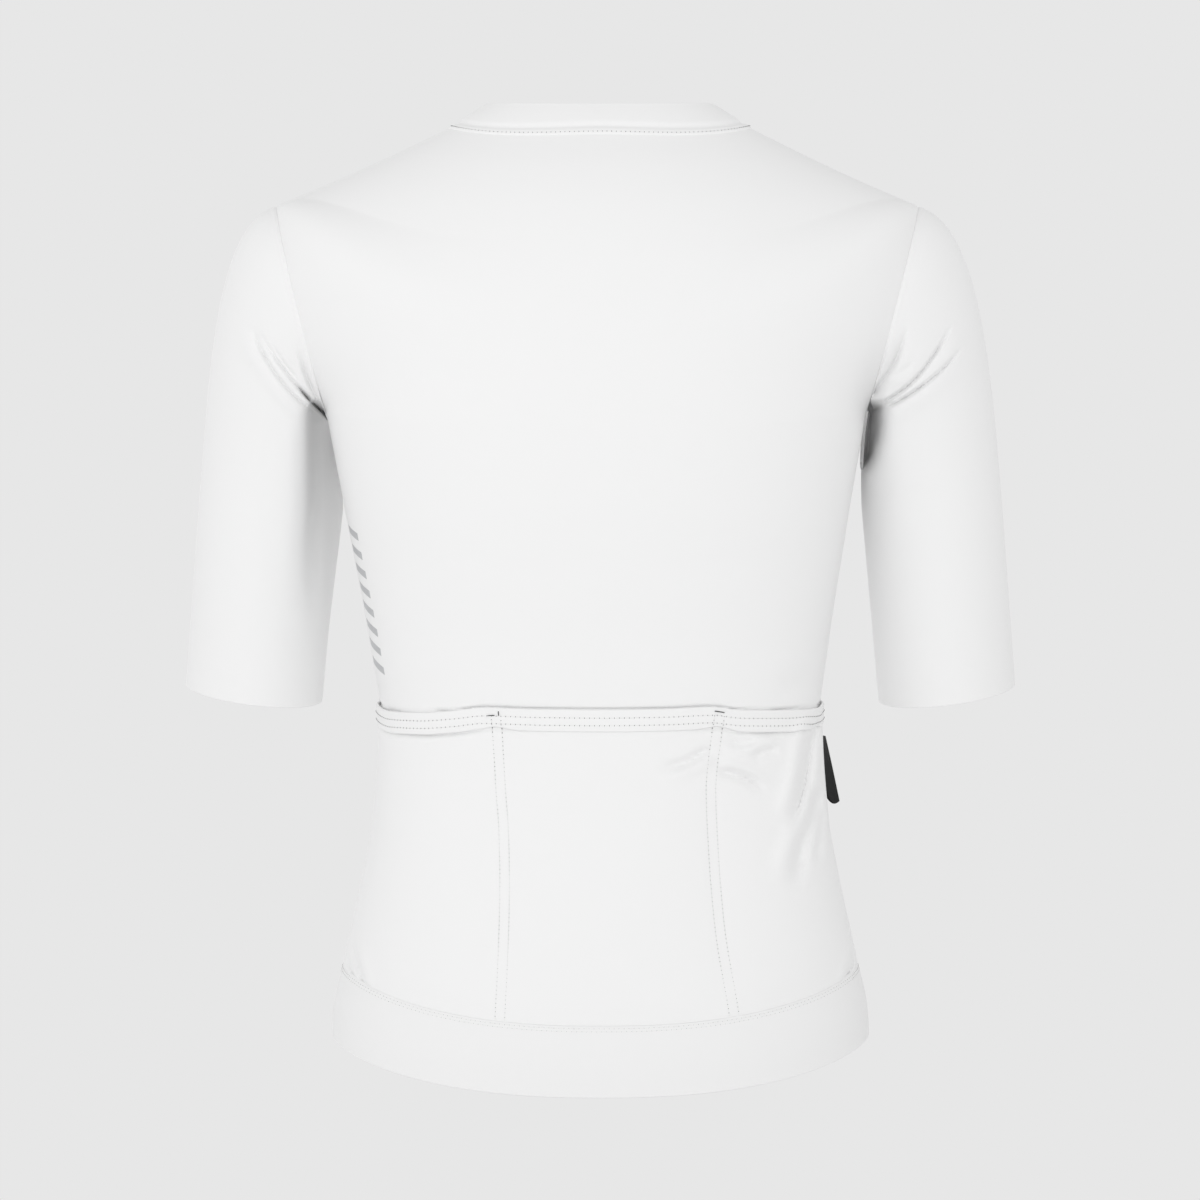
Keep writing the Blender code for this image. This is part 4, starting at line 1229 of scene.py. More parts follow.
@dataclass(frozen=True)
class Sleeves:
    """Both set-in sleeves, each one piece with a seam under the arm."""

    torso: Torso
    block: SleeveBlock = SleeveBlock()
    columns: int = 240
    column_reach: float = 0.04     # closer near the seam under the arm
    crowding: Sizes = (0.81, 0.16, 0.25)  # and behind and inside the arm
    cap_rows: int = 172
    tube_rows: int = 14
    # Inside of the left sleeve, folded in beside the body: turn where it starts, how far its
    # inner line moves in and back, how deep it sinks, and the heights where it starts, is
    # whole, starts to fade and ends.
    flat_from: float = math.radians(109)
    flat_shift: Sizes = (-2.0, 5.0)
    gutter: float = 15.5
    flat_heights: Sizes = (-166.0, -181.0, -222.0, -322.0)
    straight_over: float = 0.5     # share of the way over which its rows become straight
    sink_over: float = 0.62        # and over which they sink
    front_over: float = 0.7        # turn over which the shift dies away in front of the seam
    flat_clearance: float = 12.0   # it begins over this length from the armhole
    inside_fade: float = 0.15      # turn over which the folds behind fade at the same seam
    fold_clearance: float = 2.5    # the left fold begins over this length from the armhole
    left_aside: float = 0.1        # the folds lean to the left by this share of their depth
    right_aside: float = -0.14     # and the same on the right sleeve
    welt: Sizes = (1.9, 1.3, 0.3)  # distance from the seam, width, height
    cap_groove: Sizes = (0.9, 0.12)  # width and depth
    left_back: Sequence[Crease] = (
        Crease(((192.0, -172.0), (191.5, -190), (192.0, -215), (193.0, -250), (195, -300)),
               7.0, -1.0, 0.0, 1, (0.15, 0.6)),
        Crease(((168.3, -179.0), (178.0, -169.6), (187.0, -159.5), (197.0, -146.5),
                (205.5, -133.5), (209.5, -124)), 3.6, 3.9, 0.25, -1, (0.05, 0.4), 0.7, 0.95),
        Crease(((177.0, -176.0), (185.5, -169.0), (194.5, -159.6), (202.5, -148.4),
                (209.0, -136.5), (214.5, -123.5)), 3.0, 3.8, 0.25, -1, (0.08, 0.35), 0.7, 0.95),
        Crease(((184.1, -158.6), (194.2, -146.5), (202.2, -133.6)), 2.2, 1.7, 0.5, -1,
               (0.3, 0.4), 0.7, 0.8),
        Crease(((204.8, -146.0), (209.4, -135.0), (213.5, -122.0)), 3.6, 1.8, 0.4, -1,
               (0.3, 0.4), 0.2),
        Crease(((173.0, -173.0), (177.5, -161.5), (182.3, -148.5), (187.0, -132.0)), 2.4, 4.2,
               0.2, 1, (0.15, 0.5), 0.6, 1.0),
        Crease(((176.3, -165.0), (179.8, -157.5), (183.8, -147.5)), 1.4, 0.9,
               0.5, -1, (0.3, 0.5), 0.7, 0.8),
    )
    right_back: Sequence[Crease] = (
        Crease(((-181.0, -172.0), (-180.5, -200), (-181.0, -230), (-184.0, -270)),
               9.0, -1.6, 0.0, 1, (0.2, 0.6)),
        Crease(((-163.0, -175.6), (-170.0, -172.8), (-177.0, -168.8), (-189.7, -159.6),
                (-197.4, -151.6), (-204.3, -142.2), (-211.0, -131.6), (-217.3, -120.2)),
               4.0, 5.2, 0.25, 1, (0.04, 0.3), 0.8, 0.95),
        Crease(((-174.0, -174.6), (-186.0, -168.4), (-196.2, -161.6), (-206.0, -153.9),
                (-215.5, -144.8), (-224.5, -134.6)), 3.6, 4.6, 0.12, 1, (0.1, 0.3), 0.8,
               0.9),
        Crease(((-167.0, -166.5), (-173.0, -157.5), (-178.8, -149.0), (-183.6, -137.5),
                (-188.2, -122.5)), 3.0, 6.2, 0.3, -1, (0.08, 0.5), 0.5, 1.2),
        Crease(((-176.0, -158.0), (-183.5, -152.4), (-192.5, -146.3)), 2.4, 1.1, 0.4, 1,
               (0.3, 0.25), 0.3, 1.0),
    )
    # Deep folds beside the armpits, sunk before the other creases.
    left_folds: Sequence[Crease] = (
        Crease(((166.5, -180.6), (172.0, -175.2), (178.5, -168.8), (187.0, -159.2)), 1.1, 13.0,
               0.02, -1, (0.04, 0.4)),
    )
    right_folds: Sequence[Crease] = (
        Crease(((-166.2, -168.0), (-165.8, -183), (-162.6, -198), (-158.8, -215)),
               6.8, 33.0, 0.0, 1, (0.1, 0.35)),
    )
    fronts: Sequence[Crease] = (
        Crease(((168, -180), (184, -168), (200, -148), (208, -128)), 4.6, 4.0, 0.35, -1,
               (0.1, 0.4), 0.55, 1.1),
        Crease(((172, -186), (190, -178), (208, -164), (218, -146)), 4.2, 3.2, 0.3, -1,
               (0.15, 0.4), 0.55, 1.1),
    )

    def turns(self) -> Array:
        """Angle of each column, from the seam under the arm round its front and back."""
        return np.pi + 2 * np.pi * spaced(self.columns, reach=self.column_reach,
                                          spot=self.crowding)

    def surface(self, side: int) -> Sheet:
        """A sleeve's surface from cuff to armhole, starting and ending at its own seam.

        Args:
            side: 1 for the left sleeve, -1 for the right.

        Returns:
            The sheet.
        """
        turns = self.turns()
        around_it = np.mod(turns, 2 * np.pi)
        body = self.torso.block
        behind = body.armhole(around_it, Face.BACK)
        before = body.armhole(2 * np.pi - around_it, Face.FRONT)
        armhole = np.where((around_it <= np.pi)[:, None], behind, before)
        armhole = body.leaned(mirrored(armhole, side))
        grid = self.block.surface(side, armhole, turns, self.cap_rows, self.tube_rows)[::-1]
        return Sheet(grid if side == 1 else grid[:, ::-1])

    def flattened(self, points: Array) -> Array:
        """The left sleeve's points with the strip behind and inside the arm folded in.

        Between the turn where the strip starts and the inner line, each row runs along a
        straight line that sinks forwards, instead of its arc, and the inner line moves with
        it. In front of that line the shift dies away.

        Args:
            points: the sleeve as cut.

        Returns:
            The moved points.
        """
        turns = np.mod(self.turns() + ROUNDING, 2 * np.pi)
        last = points.shape[1] - 1
        first = int(np.argmin(np.where(self.turns() > 2 * np.pi,
                                       np.abs(turns - self.flat_from), np.inf)))
        high, full, fading, low = self.flat_heights
        z = points[..., 2:3]
        share = ease((high - z) / (high - full)) * (1 - ease((fading - z) / (fading - low)))
        shift = np.array((*self.flat_shift, 0.0))
        along = np.zeros(last + 1)
        along[first:] = np.linspace(0, 1, last + 1 - first)
        end = points[:, last:] + shift
        straight = points[:, first:first + 1] + (end - points[:, first:first + 1]) * along[:, None]
        straight = points + (straight - points) * ease(along / self.straight_over)[:, None]
        sink = np.array((0.0, self.gutter, 0.0))
        straight = straight - sink * ease(along / self.sink_over)[:, None]
        dying = (1 - ease((turns - np.pi) / self.front_over))[:, None]
        moved = np.where((np.arange(last + 1) >= first)[:, None], straight,
                         points + (shift - sink) * dying * (turns >= np.pi)[:, None])
        free = ease(Sheet(points).distance_from(Edge.LAST_ROW) / self.flat_clearance)
        return points + (moved - points) * share * free[..., None]

    def build(self) -> None:
        """Makes both sleeves."""
        for side, node in ((1, "sleeve_left"), (-1, "sleeve_right")):
            sleeve, flat = self.surface(side), self.surface(side)
            behind = (ease((3 * np.pi - self.turns()) / self.inside_fade)
                      * (self.turns() > 2 * np.pi))
            if side == 1:
                sleeve = Sheet(self.flattened(sleeve.points))
                free = ease(sleeve.distance_from(Edge.LAST_ROW) / self.fold_clearance)
                sleeve.pull(self.left_folds, Face.BACK, behind * free, self.left_aside)
            else:
                sleeve.pull([self.torso.armpit_hollow], Face.BACK, behind[::-1])
                sleeve.pull(self.right_folds, Face.BACK, behind[::-1], self.right_aside)
            sleeve = Sheet(sleeve.points)
            creases = self.left_back if side == 1 else self.right_back
            sleeve.crease(creases, Face.BACK, [Edge.LAST_ROW])
            creases = [crease.on_side(side) for crease in self.fronts]
            sleeve.crease(creases, Face.FRONT, [Edge.LAST_ROW])
            away, width, height = self.welt
            sleeve.press(-height * bell(sleeve.distance_from(Edge.LAST_ROW) - away, width))
            sleeve.groove([Edge.LAST_ROW], *self.cap_groove)
            sleeve.groove(SIDES)
            add_cloth(sleeve, node, flat)


@dataclass(frozen=True)
class Collar:
    """Low stand collar, with the seam allowance stitched down along its foot."""

    torso: Torso
    edge: BandEdge = BandEdge(70.8, 46.0, 66.0, (14.9, 11.4, -50.0))
    rows: int = 26
    row_reach: float = 0.12
    crown: float = 0.8
    drop_power: float = 1.8        # power by which the top edge falls towards the centre
    foot: float = 5.0              # height of the stitched-down strip
    foot_stand: float = 0.6        # the strip stands out by this much
    foot_slope: Sizes = (1.0, 1.6)  # it slopes in from this far under its top, over this
    bend: Sizes = (2.2, 1.9, 1.0)  # dip: distance above the strip, width, depth
    seam_groove: Sizes = (0.5, 0.5)  # width and depth
    thickness: float = 1.6
    stitch_height: float = 1.9
    stitches: Stitches = Stitches(length=1.9, gap=0.95, hole=0.8)

    def surface(self) -> Sheet:
        """The collar's surface from its seam to its top edge.

        Returns:
            The sheet.
        """
        block = self.torso.block
        ring = self.torso.ring(block.stations[4])
        share = spaced(self.rows, reach=self.row_reach)
        grid = block.band(ring, block.neck_half_width, self.edge, share, self.crown,
                          self.drop_power, self.torso.opening)
        return Sheet(block.leaned(grid))

    def build(self) -> Sheet:
        """Makes the collar and its stitching.

        Returns:
            The collar, for the zip.
        """
        collar, flat = self.surface(), self.surface()
        above = collar.distance_from(Edge.FIRST_ROW)
        away, width, depth = self.bend
        collar.press(depth * bell(above - self.foot - away, width))
        under, over = self.foot_slope
        collar.press(-self.foot_stand * (1 - ease((above - self.foot + under) / over)))
        collar.groove([Edge.FIRST_ROW], *self.seam_groove)
        add_cloth(collar, "collar", flat, thickness=self.thickness)
        line = collar.line_along(Edge.FIRST_ROW, self.stitch_height)
        self.stitches.build("collar_stitches", [line], SLOTS.knit)
        return collar


@dataclass(frozen=True)
class HemBand:
    """Ribbed elastic gripper band along the hem."""

    torso: Torso
    edge: BandEdge = BandEdge(166.3, 111.0, 108.0, (-559.5, -590.0, -547.0))
    rows: int = 26
    row_reach: float = 0.1
    crown: float = 1.8
    drop_power: float = 1.75       # power by which the bottom edge falls towards the centre
    seam_groove: Sizes = (0.9, 0.6)  # width and depth
    thickness: float = 1.2
    stitch_rows: Sizes = (1.8, 3.6)
    stitches: Stitches = Stitches(length=1.9, gap=1.1, thread=0.3, lift=-0.03, hole=0.42)

    def surface(self) -> Sheet:
        """The band's surface from its bottom edge to its seam.

        Returns:
            The sheet.
        """
        block = self.torso.block
        ring = self.torso.ring(block.stations[0])
        share = spaced(self.rows, reach=self.row_reach)
        grid = block.band(ring, ring[:, 0].max(), self.edge, share, self.crown,
                          self.drop_power, self.torso.opening)
        return Sheet(block.leaned(grid)[::-1])

    def build(self) -> Sheet:
        """Makes the band and its stitching.

        Returns:
            The band, for the zip.
        """
        band, flat = self.surface(), self.surface()
        band.groove([Edge.LAST_ROW], *self.seam_groove)
        add_cloth(band, "hem_band", flat, self.thickness, RIBBED_BAND)
        rows = [band.line_along(Edge.LAST_ROW, height) for height in self.stitch_rows]
        self.stitches.build("hem_stitches", rows, SLOTS.band)
        return band


@dataclass(frozen=True)
class Pockets:
    """Three pockets across the lower back, cut as one panel with a band along their mouth."""

    torso: Torso
    base_rows: int = 150           # rows that the panel and the band are cut from
    rows: int = 84
    closer: Sizes = (0.86, 0.12, 0.4)  # the panel's rows lie closer at its folds
    band_rows: int = 12
    band_row_reach: float = 0.2
    panel_thickness: float = 0.8
    band_thickness: float = 1.5
    band_height: float = 12.6
    band_pull: Sizes = (1.7, 8.0)  # it is narrower at a divider: by this, over this
    band_stand: float = 0.8        # the band stands out from the panel
    band_groove: Sizes = (0.8, 0.3)  # width and depth
    # Under the band the panel sinks by a depth, and by more round some x: x, reach, depth.
    tuck: float = 0.9
    tuck_width: float = 2.2
    tuck_more: Table = ((95.0, 35.0, 1.6), (-88.0, 30.0, 1.3))
    # Bartacks: how far under the mouth, how far to the right of the divider, half length.
    tacks: Table = ((4.2, -2.5, 2.7), (2.2, -0.4, 3.4))
    tack_upright: Sizes = (1.9, 1.6, 4.4)  # on the left one too: its place, and from and to
    tack_points: int = 9
    rest: float = 1.1              # height over the back panel
    edge_rest: float = 0.3         # the same where it is sewn in at the sides and the hem
    edge_reach: float = 14.0
    slack: float = 2.6
    slack_power: float = 0.8       # below one, a pocket swells soon beside its stitched lines
    mouth_slack: float = 0.5
    mouth_power: int = 3           # power by which that part grows towards the mouth
    twin_half_gap: float = 2.9     # half the distance between the two rows of a divider
    #                 height  x of the middle of the twin rows
    dividers: Sequence[Table] = (
        ((-357, 63.4), (-378, 62.1), (-394, 61.1), (-412, 60.0), (-432, 58.4), (-467, 57.7),
         (-508, 58.6), (-545, 60.4)),
        ((-357, -72.6), (-378, -70.0), (-394, -67.9), (-410, -66.7), (-448, -68.2),
         (-490, -71.5), (-545, -80.2)),
    )
    divider_dip: Sizes = (0.25, 1.0)  # depth and width of a pressed-in row
    thread_sink: float = 0.2       # on the panel the dividers' threads lie this deep
    lap: float = 0.3               # and they rise this much under the band's lower edge
    mouth_rows: Sizes = (4.6, 9.2)
    mouth_stitches: Stitches = Stitches(length=2.0, gap=1.0, hole=0.8)
    divider_stitches: Stitches = Stitches(length=1.6, gap=1.0, hole=0.75)
    bartack_stitches: Stitches = Stitches(length=0.9, gap=0.0, thread=0.65, lift=0.15, hole=0)

    def rest_height(self, base: Array, height: Array, from_edge: Array) -> Array:
        """Height of the cloth over the back panel.

        Between the dividers it swells as the sine of the way across times a sine of the way
        up, and gapes a little at the mouth. Towards the sewn edges it sinks to the panel.

        Args:
            base: points of the back panel under it.
            height: share of the way up to the mouth.
            from_edge: distance from the sewn edges.

        Returns:
            The heights.
        """
        x, z = base[..., 0], base[..., 2]
        ways = [np.full_like(x, x.max())]
        for table in self.dividers:
            middle = curve_through(table, z)
            ways += [middle + self.twin_half_gap, middle - self.twin_half_gap]
        ways.append(np.full_like(x, x.min()))
        swell = np.zeros_like(x)
        for left, right in zip(ways[::2], ways[1::2]):
            share = np.clip((left - x) / (left - right), 0, 1)
            swell += np.sin(np.pi * share) ** self.slack_power
        slack = swell * (self.slack * np.sin(np.pi * height)
                         + self.mouth_slack * height ** self.mouth_power)
        sewn = ease(from_edge / self.edge_reach)
        return self.edge_rest + (self.rest - self.edge_rest) * sewn + slack * sewn

    def build(self) -> None:
        """Makes the panel, the band and all rows of stitches."""
        under = self.torso.back(self.torso.rows(0, 1))
        number = np.arange(len(under.points), dtype=float)
        wanted = curve_through(self.torso.pocket_mouth, under.points[-1, :, 0])
        top = np.array([np.interp(z, under.points[:, i, 2], number)
                        for i, z in enumerate(wanted)])
        base = under.rows_between(spaced(self.base_rows), 0, top)
        from_edge = np.minimum(base.from_sides(), base.distance_from(Edge.FIRST_ROW))
        whole = Sheet(base.points)
        whole.press(-self.rest_height(base.points, base.up / base.up[-1], from_edge))
        whole.crease(self.torso.lower_creases, Face.BACK)
        whole = Sheet(whole.points)

        across = whole.points[-1, :, 0]
        height = np.full_like(across, self.band_height)
        for table in self.dividers:
            height -= self.band_pull[0] * bell(across - table[0][1], self.band_pull[1])
        cut = whole.row_at(Edge.LAST_ROW, height)
        panel = whole.rows_between(spaced(self.rows, spot=self.closer), 0, cut)
        flat = Sheet(panel.points)
        depth = sum((more * bell(panel.points[..., 0] - x, reach)
                     for x, reach, more in self.tuck_more), self.tuck)
        panel.press(depth * bell(panel.distance_from(Edge.LAST_ROW), self.tuck_width))
        panel.groove([Edge.FIRST_ROW, *SIDES])
        self.sew_dividers(panel)
        add_cloth(panel, "pocket_panel", flat, self.panel_thickness)

        share = spaced(self.band_rows, reach=self.band_row_reach)
        band = whole.rows_between(share, cut, len(whole.points) - 1)
        flat = Sheet(band.points)
        band.press(-self.band_stand * ease(band.from_sides() / self.edge_reach))
        band.groove([Edge.FIRST_ROW], *self.band_groove)
        add_cloth(band, "pocket_top_band", flat, self.band_thickness)
        self.stitch(whole, band)

    def divider_columns(self, whole: Sheet, table: Table, offset: float) -> Array:
        """Fractional column of a divider's row of stitches, for each grid row.

        Args:
            whole: panel and band in one.
            table: the divider.
            offset: how far to the left of it the row runs.

        Returns:
            The columns.
        """
        columns = np.arange(whole.points.shape[1], dtype=float)
        wanted = curve_through(table, whole.points[:, len(columns) // 2, 2]) + offset
        return np.array([np.interp(-w, -row[:, 0], columns)
                         for w, row in zip(wanted, whole.points)])

    def sew_dividers(self, panel: Sheet) -> None:
        """Presses the four rows of divider stitches into the panel.

        Args:
            panel: the panel.
        """
        x, z = panel.points[..., 0], panel.points[..., 2]
        depth, width = self.divider_dip
        for table in self.dividers:
            middle = curve_through(table, z)
            for side in (1, -1):
                panel.press(depth * bell(x - middle - side * self.twin_half_gap, width))

    def stitch(self, whole: Sheet, band: Sheet) -> None:
        """Adds the mouth's two rows, the dividers' twin rows and a bartack on each divider.

        Args:
            whole: panel and band in one.
            band: the band.
        """
        mouth = [band.line_along(Edge.LAST_ROW, distance) for distance in self.mouth_rows]
        rows = np.arange(len(whole.points), dtype=float)
        dividers, tacks = [], []
        for table, (drop, right, half) in zip(self.dividers, self.tacks):
            for side in (1, -1):
                column = self.divider_columns(whole, table, side * self.twin_half_gap)
                points, normals = whole.at(rows, column)
                to_mouth = run_lengths(points, 0)[-1] - run_lengths(points, 0)
                on_band = ease(self.band_height - self.band_pull[0] + self.lap - to_mouth)
                rise = on_band * (self.band_stand + self.thread_sink) - self.thread_sink
                points = points + normals * rise[:, None]
                kept = to_mouth > drop
                dividers.append((points[kept], normals[kept]))
            middle = self.divider_columns(whole, table, 0.0)[-1]
            tacks.append(self.dash(band, middle, (drop, drop), (right - half, right + half)))
            if table is self.dividers[0]:
                right, *drops = self.tack_upright
                tacks.append(self.dash(band, middle, drops, (right, right)))
        self.mouth_stitches.build("mouth_stitches", mouth, SLOTS.knit)
        self.divider_stitches.build("divider_stitches", dividers, SLOTS.knit)
        # The bartacks' thread is coloured dark grey as painted shade.
        self.bartack_stitches.build("pocket_bartacks", tacks, SLOTS.knit, THREAD_PAINTED_SHADE)

    def dash(self, band: Sheet, middle: float, drops: Sizes, across: Sizes
             ) -> tuple[Array, Array]:
        """Points and normals of a short straight line on the band.

        Args:
            band: the band.
            middle: fractional column that lengths across start from.
            drops: how far under the mouth the line starts and ends.
            across: how far to the right of the middle it starts and ends.

        Returns:
            The points and normals.
        """
        column = int(middle)
        step = np.linalg.norm(band.points[-1, column + 1] - band.points[-1, column])
        walked = band.distance_from(Edge.LAST_ROW)[::-1, column]
        rows = np.interp(np.linspace(*drops, self.tack_points), walked,
                         np.arange(len(band.points), dtype=float)[::-1])
        return band.at(rows, middle + np.linspace(*across, self.tack_points) / step)


@dataclass(frozen=True)
class ReflectiveDashes:
    """A row of plain slanted dashes of film beside the back's left seam."""

    torso: Torso
    first_height: float = -250.0
    pitch: float = 11.5
    number: int = 8
    from_seam: float = 17.0
    size: Sizes = (22.0, 4.6)      # across the cloth, up
    slant: float = 6.0             # a dash falls by this from the seam's end to the other
    lift: float = 0.12             # the film's two faces lie this far from the cloth's face
    height_column: int = 8         # the back's column that gives a row's height there
    grid: Sequence[int] = (9, 5)   # points across and up

    def build(self) -> None:
        """Makes the dashes as thin grids that follow the cloth."""
        back = self.torso.back(self.torso.rows())
        columns = np.arange(back.points.shape[1], dtype=float)
        heights = back.points[:, self.height_column, 2]
        across, upward = np.meshgrid(*(np.linspace(0, 1, number) for number in self.grid))
        vertices, faces, count = [], [], 0
        for i in range(self.number):
            z = self.first_height - i * self.pitch + upward * self.size[1] - across * self.slant
            row = np.interp(z, heights, np.arange(len(heights), dtype=float))
            near = back.across[int(row.mean())]
            column = np.interp(self.from_seam + across * self.size[0], near, columns)
            points, normals = back.at(row, column)
            both = np.concatenate([(points + normals * self.lift).reshape(-1, 3),
                                   (points - normals * self.lift).reshape(-1, 3)])
            vertices.append(both)
            faces.append(closed_grid(*across.shape) + count)
            count += len(both)
        add_piece("reflective_dashes", np.concatenate(vertices), np.concatenate(faces),
                  REFLECTIVE_FILM, SLOTS.knit)


def closed_grid(rows: int, columns: int) -> Array:
    """Quads of a slab: a grid's upper skin, its lower skin and the strips that join them.

    Args:
        rows: rows of points.
        columns: columns of points.

    Returns:
        The quads.
    """
    skin, loop = grid_quads(rows, columns)
    after = np.roll(loop, -1)
    under = rows * columns
    return np.concatenate([skin, skin[:, ::-1] + under,
                           np.stack([after, loop, loop + under, after + under], axis=-1)])


@dataclass(frozen=True)
class SideTag:
    """Folded woven label in the right side seam. Its two leaves part towards the bottom."""

    torso: Torso
    root: Sizes = (-376.0, -407.0)  # heights of the sewn edge
    tip_top: Sizes = (-139.4, -12.0, -376.8)
    tip_bottom: Sizes = (-148.0, -5.0, -417.0)
    root_place: Sizes = (-0.5, -0.4)  # x from the seam's, and y
    droop: float = 5.0             # the lower edge's middle hangs lower by this
    gap: float = 0.35              # distance between the leaves at the top
    part: float = 1.6              # how much further they part at the bottom
    part_power: float = 1.5
    thickness: float = 0.6
    rows: int = 28
    columns: int = 12

    def leaf(self, side: int) -> Sheet:
        """One leaf, moved by half the parting, to the back for side 1 and forwards for -1.

        Args:
            side: 1 or -1.

        Returns:
            The sheet. Its lower edge droops as a parabola across the leaf.
        """
        seam = self.torso.back(self.torso.rows(0, 2)).points[:, -1]
        down = np.linspace(0, 1, self.rows + 1)[:, None]
        heights = self.root[0] + (self.root[1] - self.root[0]) * down
        root = np.concatenate([np.interp(heights, seam[:, 2], seam[:, 0]) + self.root_place[0],
                               np.full_like(heights, self.root_place[1]), heights], axis=1)
        tip = np.array(self.tip_top) * (1 - down) + np.array(self.tip_bottom) * down
        out = np.linspace(0, 1, self.columns + 1)[None, :, None]
        middle = root[:, None] * (1 - out) + tip[:, None] * out
        middle[..., 2] -= (self.droop * 4 * out * (1 - out))[..., 0] * down
        sheet = Sheet(middle[::-1, ::-1])
        away = self.gap + self.part * (1 - down) ** self.part_power
        sheet.press(-side / 2 * away * np.ones(self.columns + 1))
        return sheet

    def build(self) -> None:
        """Makes both leaves."""
        back_leaf, front_leaf = self.leaf(1), self.leaf(-1)
        item = add_cloth(back_leaf, "side_tag", thickness=self.thickness, finish=BLACK_LABEL,
                         suffix="leaf")
        other = front_leaf.wall("side_tag_under_leaf", self.thickness, BLACK_LABEL)
        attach(other, JERSEY)
        LOG.info("%s and %s are one folded label", item.name, other.name)


@dataclass(frozen=True)
class Zip:
    """Tape and closed coil behind the fronts' edges, from the hem to the collar's top."""

    torso: Torso
    tape_edge: float = 12.0
    tape_columns: int = 13
    tape_level: float = 1.35       # how far the tape lies behind the cloth's outer side
    tape_slope: float = 0.06       # it lies deeper by this share of the way to its edges
    tape_thickness: float = 0.6
    coil_pitch: float = 1.3
    coil_half_width: float = 2.9
    coil_lap: float = 0.6          # each strand reaches this far over the middle
    coil_shares: Sizes = (0.25, 0.75)  # places of the right and left strands in a pitch
    coil_strand: Stitches = Stitches(length=3.4, gap=0.0, thread=1.1, lift=0.0)
    coil_points: int = 8
    coil_level: float = 0.75

    def line(self, collar: Sheet, band: Sheet) -> tuple[Array, Array]:
        """The centre line from the hem's bottom to the collar's top, and its way out.

        Args:
            collar: the collar as worn.
            band: the hem band as worn.

        Returns:
            The points and normals.
        """
        block = self.torso.block
        front = self.torso.front(self.torso.rows(), 1)
        points = np.concatenate([band.points[:-1, 0], front.points[:, 0], collar.points[1:, 0]])
        normals = np.concatenate([band.normals[:-1, 0], front.normals[:, 0],
                                  collar.normals[1:, 0]])
        points = points.copy()
        points[:, 0] = curve_through(block.lean, points[:, 2])
        normals = unit(normals * (0, 1, 1))
        return points, normals

    def build(self, collar: Sheet, band: Sheet) -> None:
        """Makes the tape and the coil.

        Args:
            collar: the collar as worn.
            band: the hem band as worn.
        """
        points, normals = self.line(collar, band)
        walked = run_lengths(points, 0)
        number = int(walked[-1] / (2 * self.coil_pitch)) * 2
        even = np.linspace(0, walked[-1], number + 1)
        line, out = read_along(points, walked, even), unit(read_along(normals, walked, even))
        across = np.linspace(-self.tape_edge, self.tape_edge, self.tape_columns)
        sink = self.tape_level + self.tape_slope * np.abs(across)
        tape = Sheet(line[:, None] + X_WAY * across[:, None] - out[:, None] * sink[:, None])
        add_cloth(tape, "zip", thickness=self.tape_thickness, finish=ZIP_TAPE,
                  suffix="tape")
        strands = []
        for side, share in zip((-1, 1), self.coil_shares):
            reach = np.linspace(-self.coil_lap, self.coil_half_width, self.coil_points) * side
            ways = out[:-1, None]
            spots = line[:-1, None] + X_WAY * reach[:, None] - ways * self.coil_level
            spots = spots + (line[1] - line[0]) * share
            strands += zip(spots, np.broadcast_to(ways, spots.shape))
        add_piece("zip_coil", *self.coil_strand.mesh(strands), COIL_NYLON, SLOTS.zip)


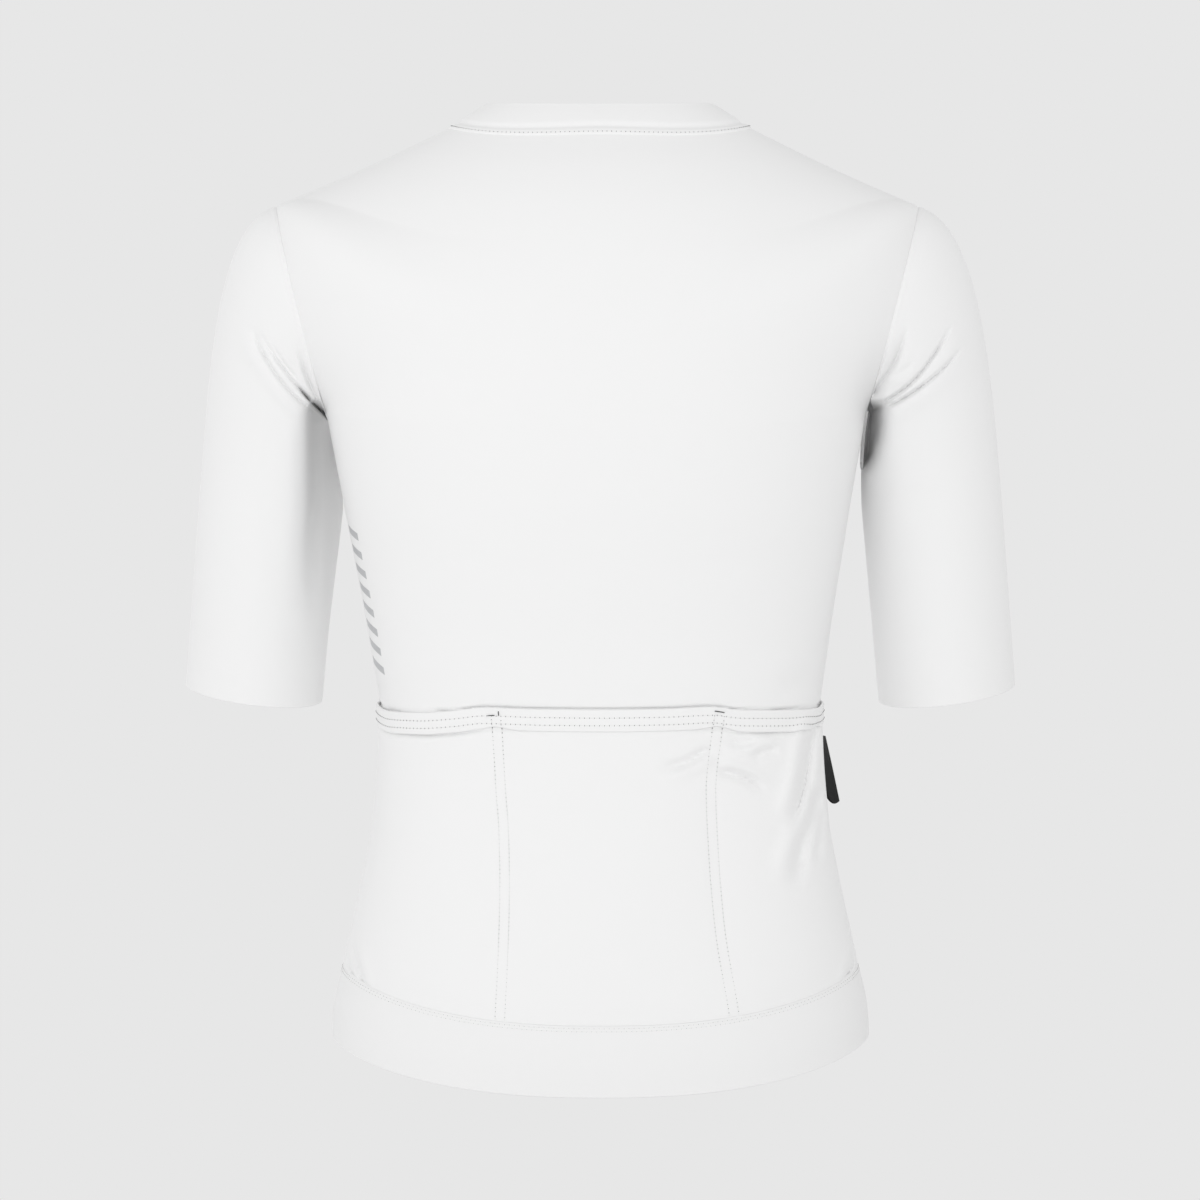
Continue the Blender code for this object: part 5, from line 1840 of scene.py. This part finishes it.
# ---- Studio --------------------------------------------------------------------------------------
@dataclass(frozen=True)
class Studio:
    """Camera, lights, surroundings and floor."""

    camera_place: Sizes = (0.0003, 3.2, -0.292)
    lens: float = 154.8
    sensor: float = 36.0
    backdrop: str = "E7E7E7"
    fill: float = 1.12
    zenith_drop: float = 0.42      # the fill is this share weaker from above
    right_drop: float = 0.07       # and this share weaker from the wearer's right
    #          place, watts, size
    lights: Sequence[tuple] = (
        ((0.5, 3.1, -0.25), 14.0, 1.0),
        ((0.6, -2.8, 0.3), 10.0, 1.6),
    )
    aim: Sizes = (0.0, 0.0, -0.29)
    floor_height: float = -1.2
    floor_radius: float = 3.8
    floor_sides: int = 96

    def build(self) -> None:
        """Places everything that isn't the jersey."""
        scene = bpy.context.scene
        scene.view_settings.view_transform = "Standard"
        camera = bpy.data.objects.new("camera", bpy.data.cameras.new("camera"))
        scene.collection.objects.link(camera)
        camera.location = self.camera_place
        camera.rotation_euler = (math.pi / 2, 0, math.pi)
        camera.data.lens, camera.data.sensor_width = self.lens, self.sensor
        scene.camera = camera
        for i, (place, watts, size) in enumerate(self.lights):
            light = bpy.data.lights.new(f"softbox_{i}", "AREA")
            light.energy, light.size = watts, size
            item = bpy.data.objects.new(light.name, light)
            scene.collection.objects.link(item)
            item.location = place
            item.rotation_euler = (Vector(self.aim) - item.location).to_track_quat(
                "-Z", "Y").to_euler()
        self.surround(scene)
        self.floor(scene)

    def surround(self, scene: Any) -> None:
        """World: the backdrop's grey to the camera, even fill light to everything else.

        Args:
            scene: the scene.
        """
        world = scene.world or bpy.data.worlds.new("studio")
        scene.world = world
        world.use_nodes = True
        tree = world.node_tree
        tree.nodes.clear()
        seen = add_node(tree, "ShaderNodeBackground", {"Color": linear(self.backdrop)})
        sky = add_node(tree, "ShaderNodeTexCoord", {}).outputs["Generated"]
        apart = add_node(tree, "ShaderNodeSeparateXYZ", {0: sky})
        level = add_node(tree, "ShaderNodeMapRange",
                         {"Value": apart.outputs["Z"], "From Min": 0.0, "From Max": 1.0,
                          "To Min": self.fill, "To Max": self.fill * (1 - self.zenith_drop)})
        sideways = add_node(tree, "ShaderNodeMapRange",
                            {"Value": apart.outputs["X"], "From Min": -1.0, "From Max": 1.0,
                             "To Min": 1 - self.right_drop, "To Max": 1.0})
        strength = add_node(tree, "ShaderNodeMath", {0: level.outputs[0],
                                                     1: sideways.outputs[0]},
                            operation="MULTIPLY")
        fill = add_node(tree, "ShaderNodeBackground",
                        {"Color": (1, 1, 1, 1), "Strength": strength.outputs[0]})
        ray = add_node(tree, "ShaderNodeLightPath", {})
        mixed = add_node(tree, "ShaderNodeMixShader",
                         {0: ray.outputs["Is Camera Ray"], 1: fill.outputs[0],
                          2: seen.outputs[0]})
        add_node(tree, "ShaderNodeOutputWorld", {"Surface": mixed.outputs[0]})

    def floor(self, scene: Any) -> None:
        """A pale disc well under the jersey.

        Args:
            scene: the scene.
        """
        bpy.ops.mesh.primitive_circle_add(vertices=self.floor_sides, radius=self.floor_radius,
                                          fill_type="NGON",
                                          location=(0, 0, self.floor_height))
        disc = bpy.context.object
        disc.name = "floor"
        disc.data.materials.append(STUDIO_FLOOR.material())


# ---- The whole scene -----------------------------------------------------------------------------
def finish_hardware(frame: dict[str, Any]) -> None:
    """Dresses the slider and the pull tab, whose CAD solids stay as they are.

    Args:
        frame: the loaded frame.
    """
    for name in ("zip_slider", "zip_pull_tab"):
        node = frame["nodes"][name]
        node.data.materials.clear()
        node.data.materials.append(ENAMEL.material())
        LOG.info("%s: its solid in %s", name, ENAMEL.name)


def main() -> None:
    """Builds the jersey on its frame, then the studio."""
    logging.basicConfig(level=logging.INFO, stream=sys.stdout, format="%(message)s")
    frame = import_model()
    torso = Torso(BodyBlock())
    torso.build()
    Sleeves(torso).build()
    collar = Collar(torso).build()
    band = HemBand(torso).build()
    Pockets(torso).build()
    ReflectiveDashes(torso).build()
    SideTag(torso).build()
    Zip(torso).build(collar, band)
    finish_hardware(frame)
    Studio().build()


if __name__ == "__main__":
    main()
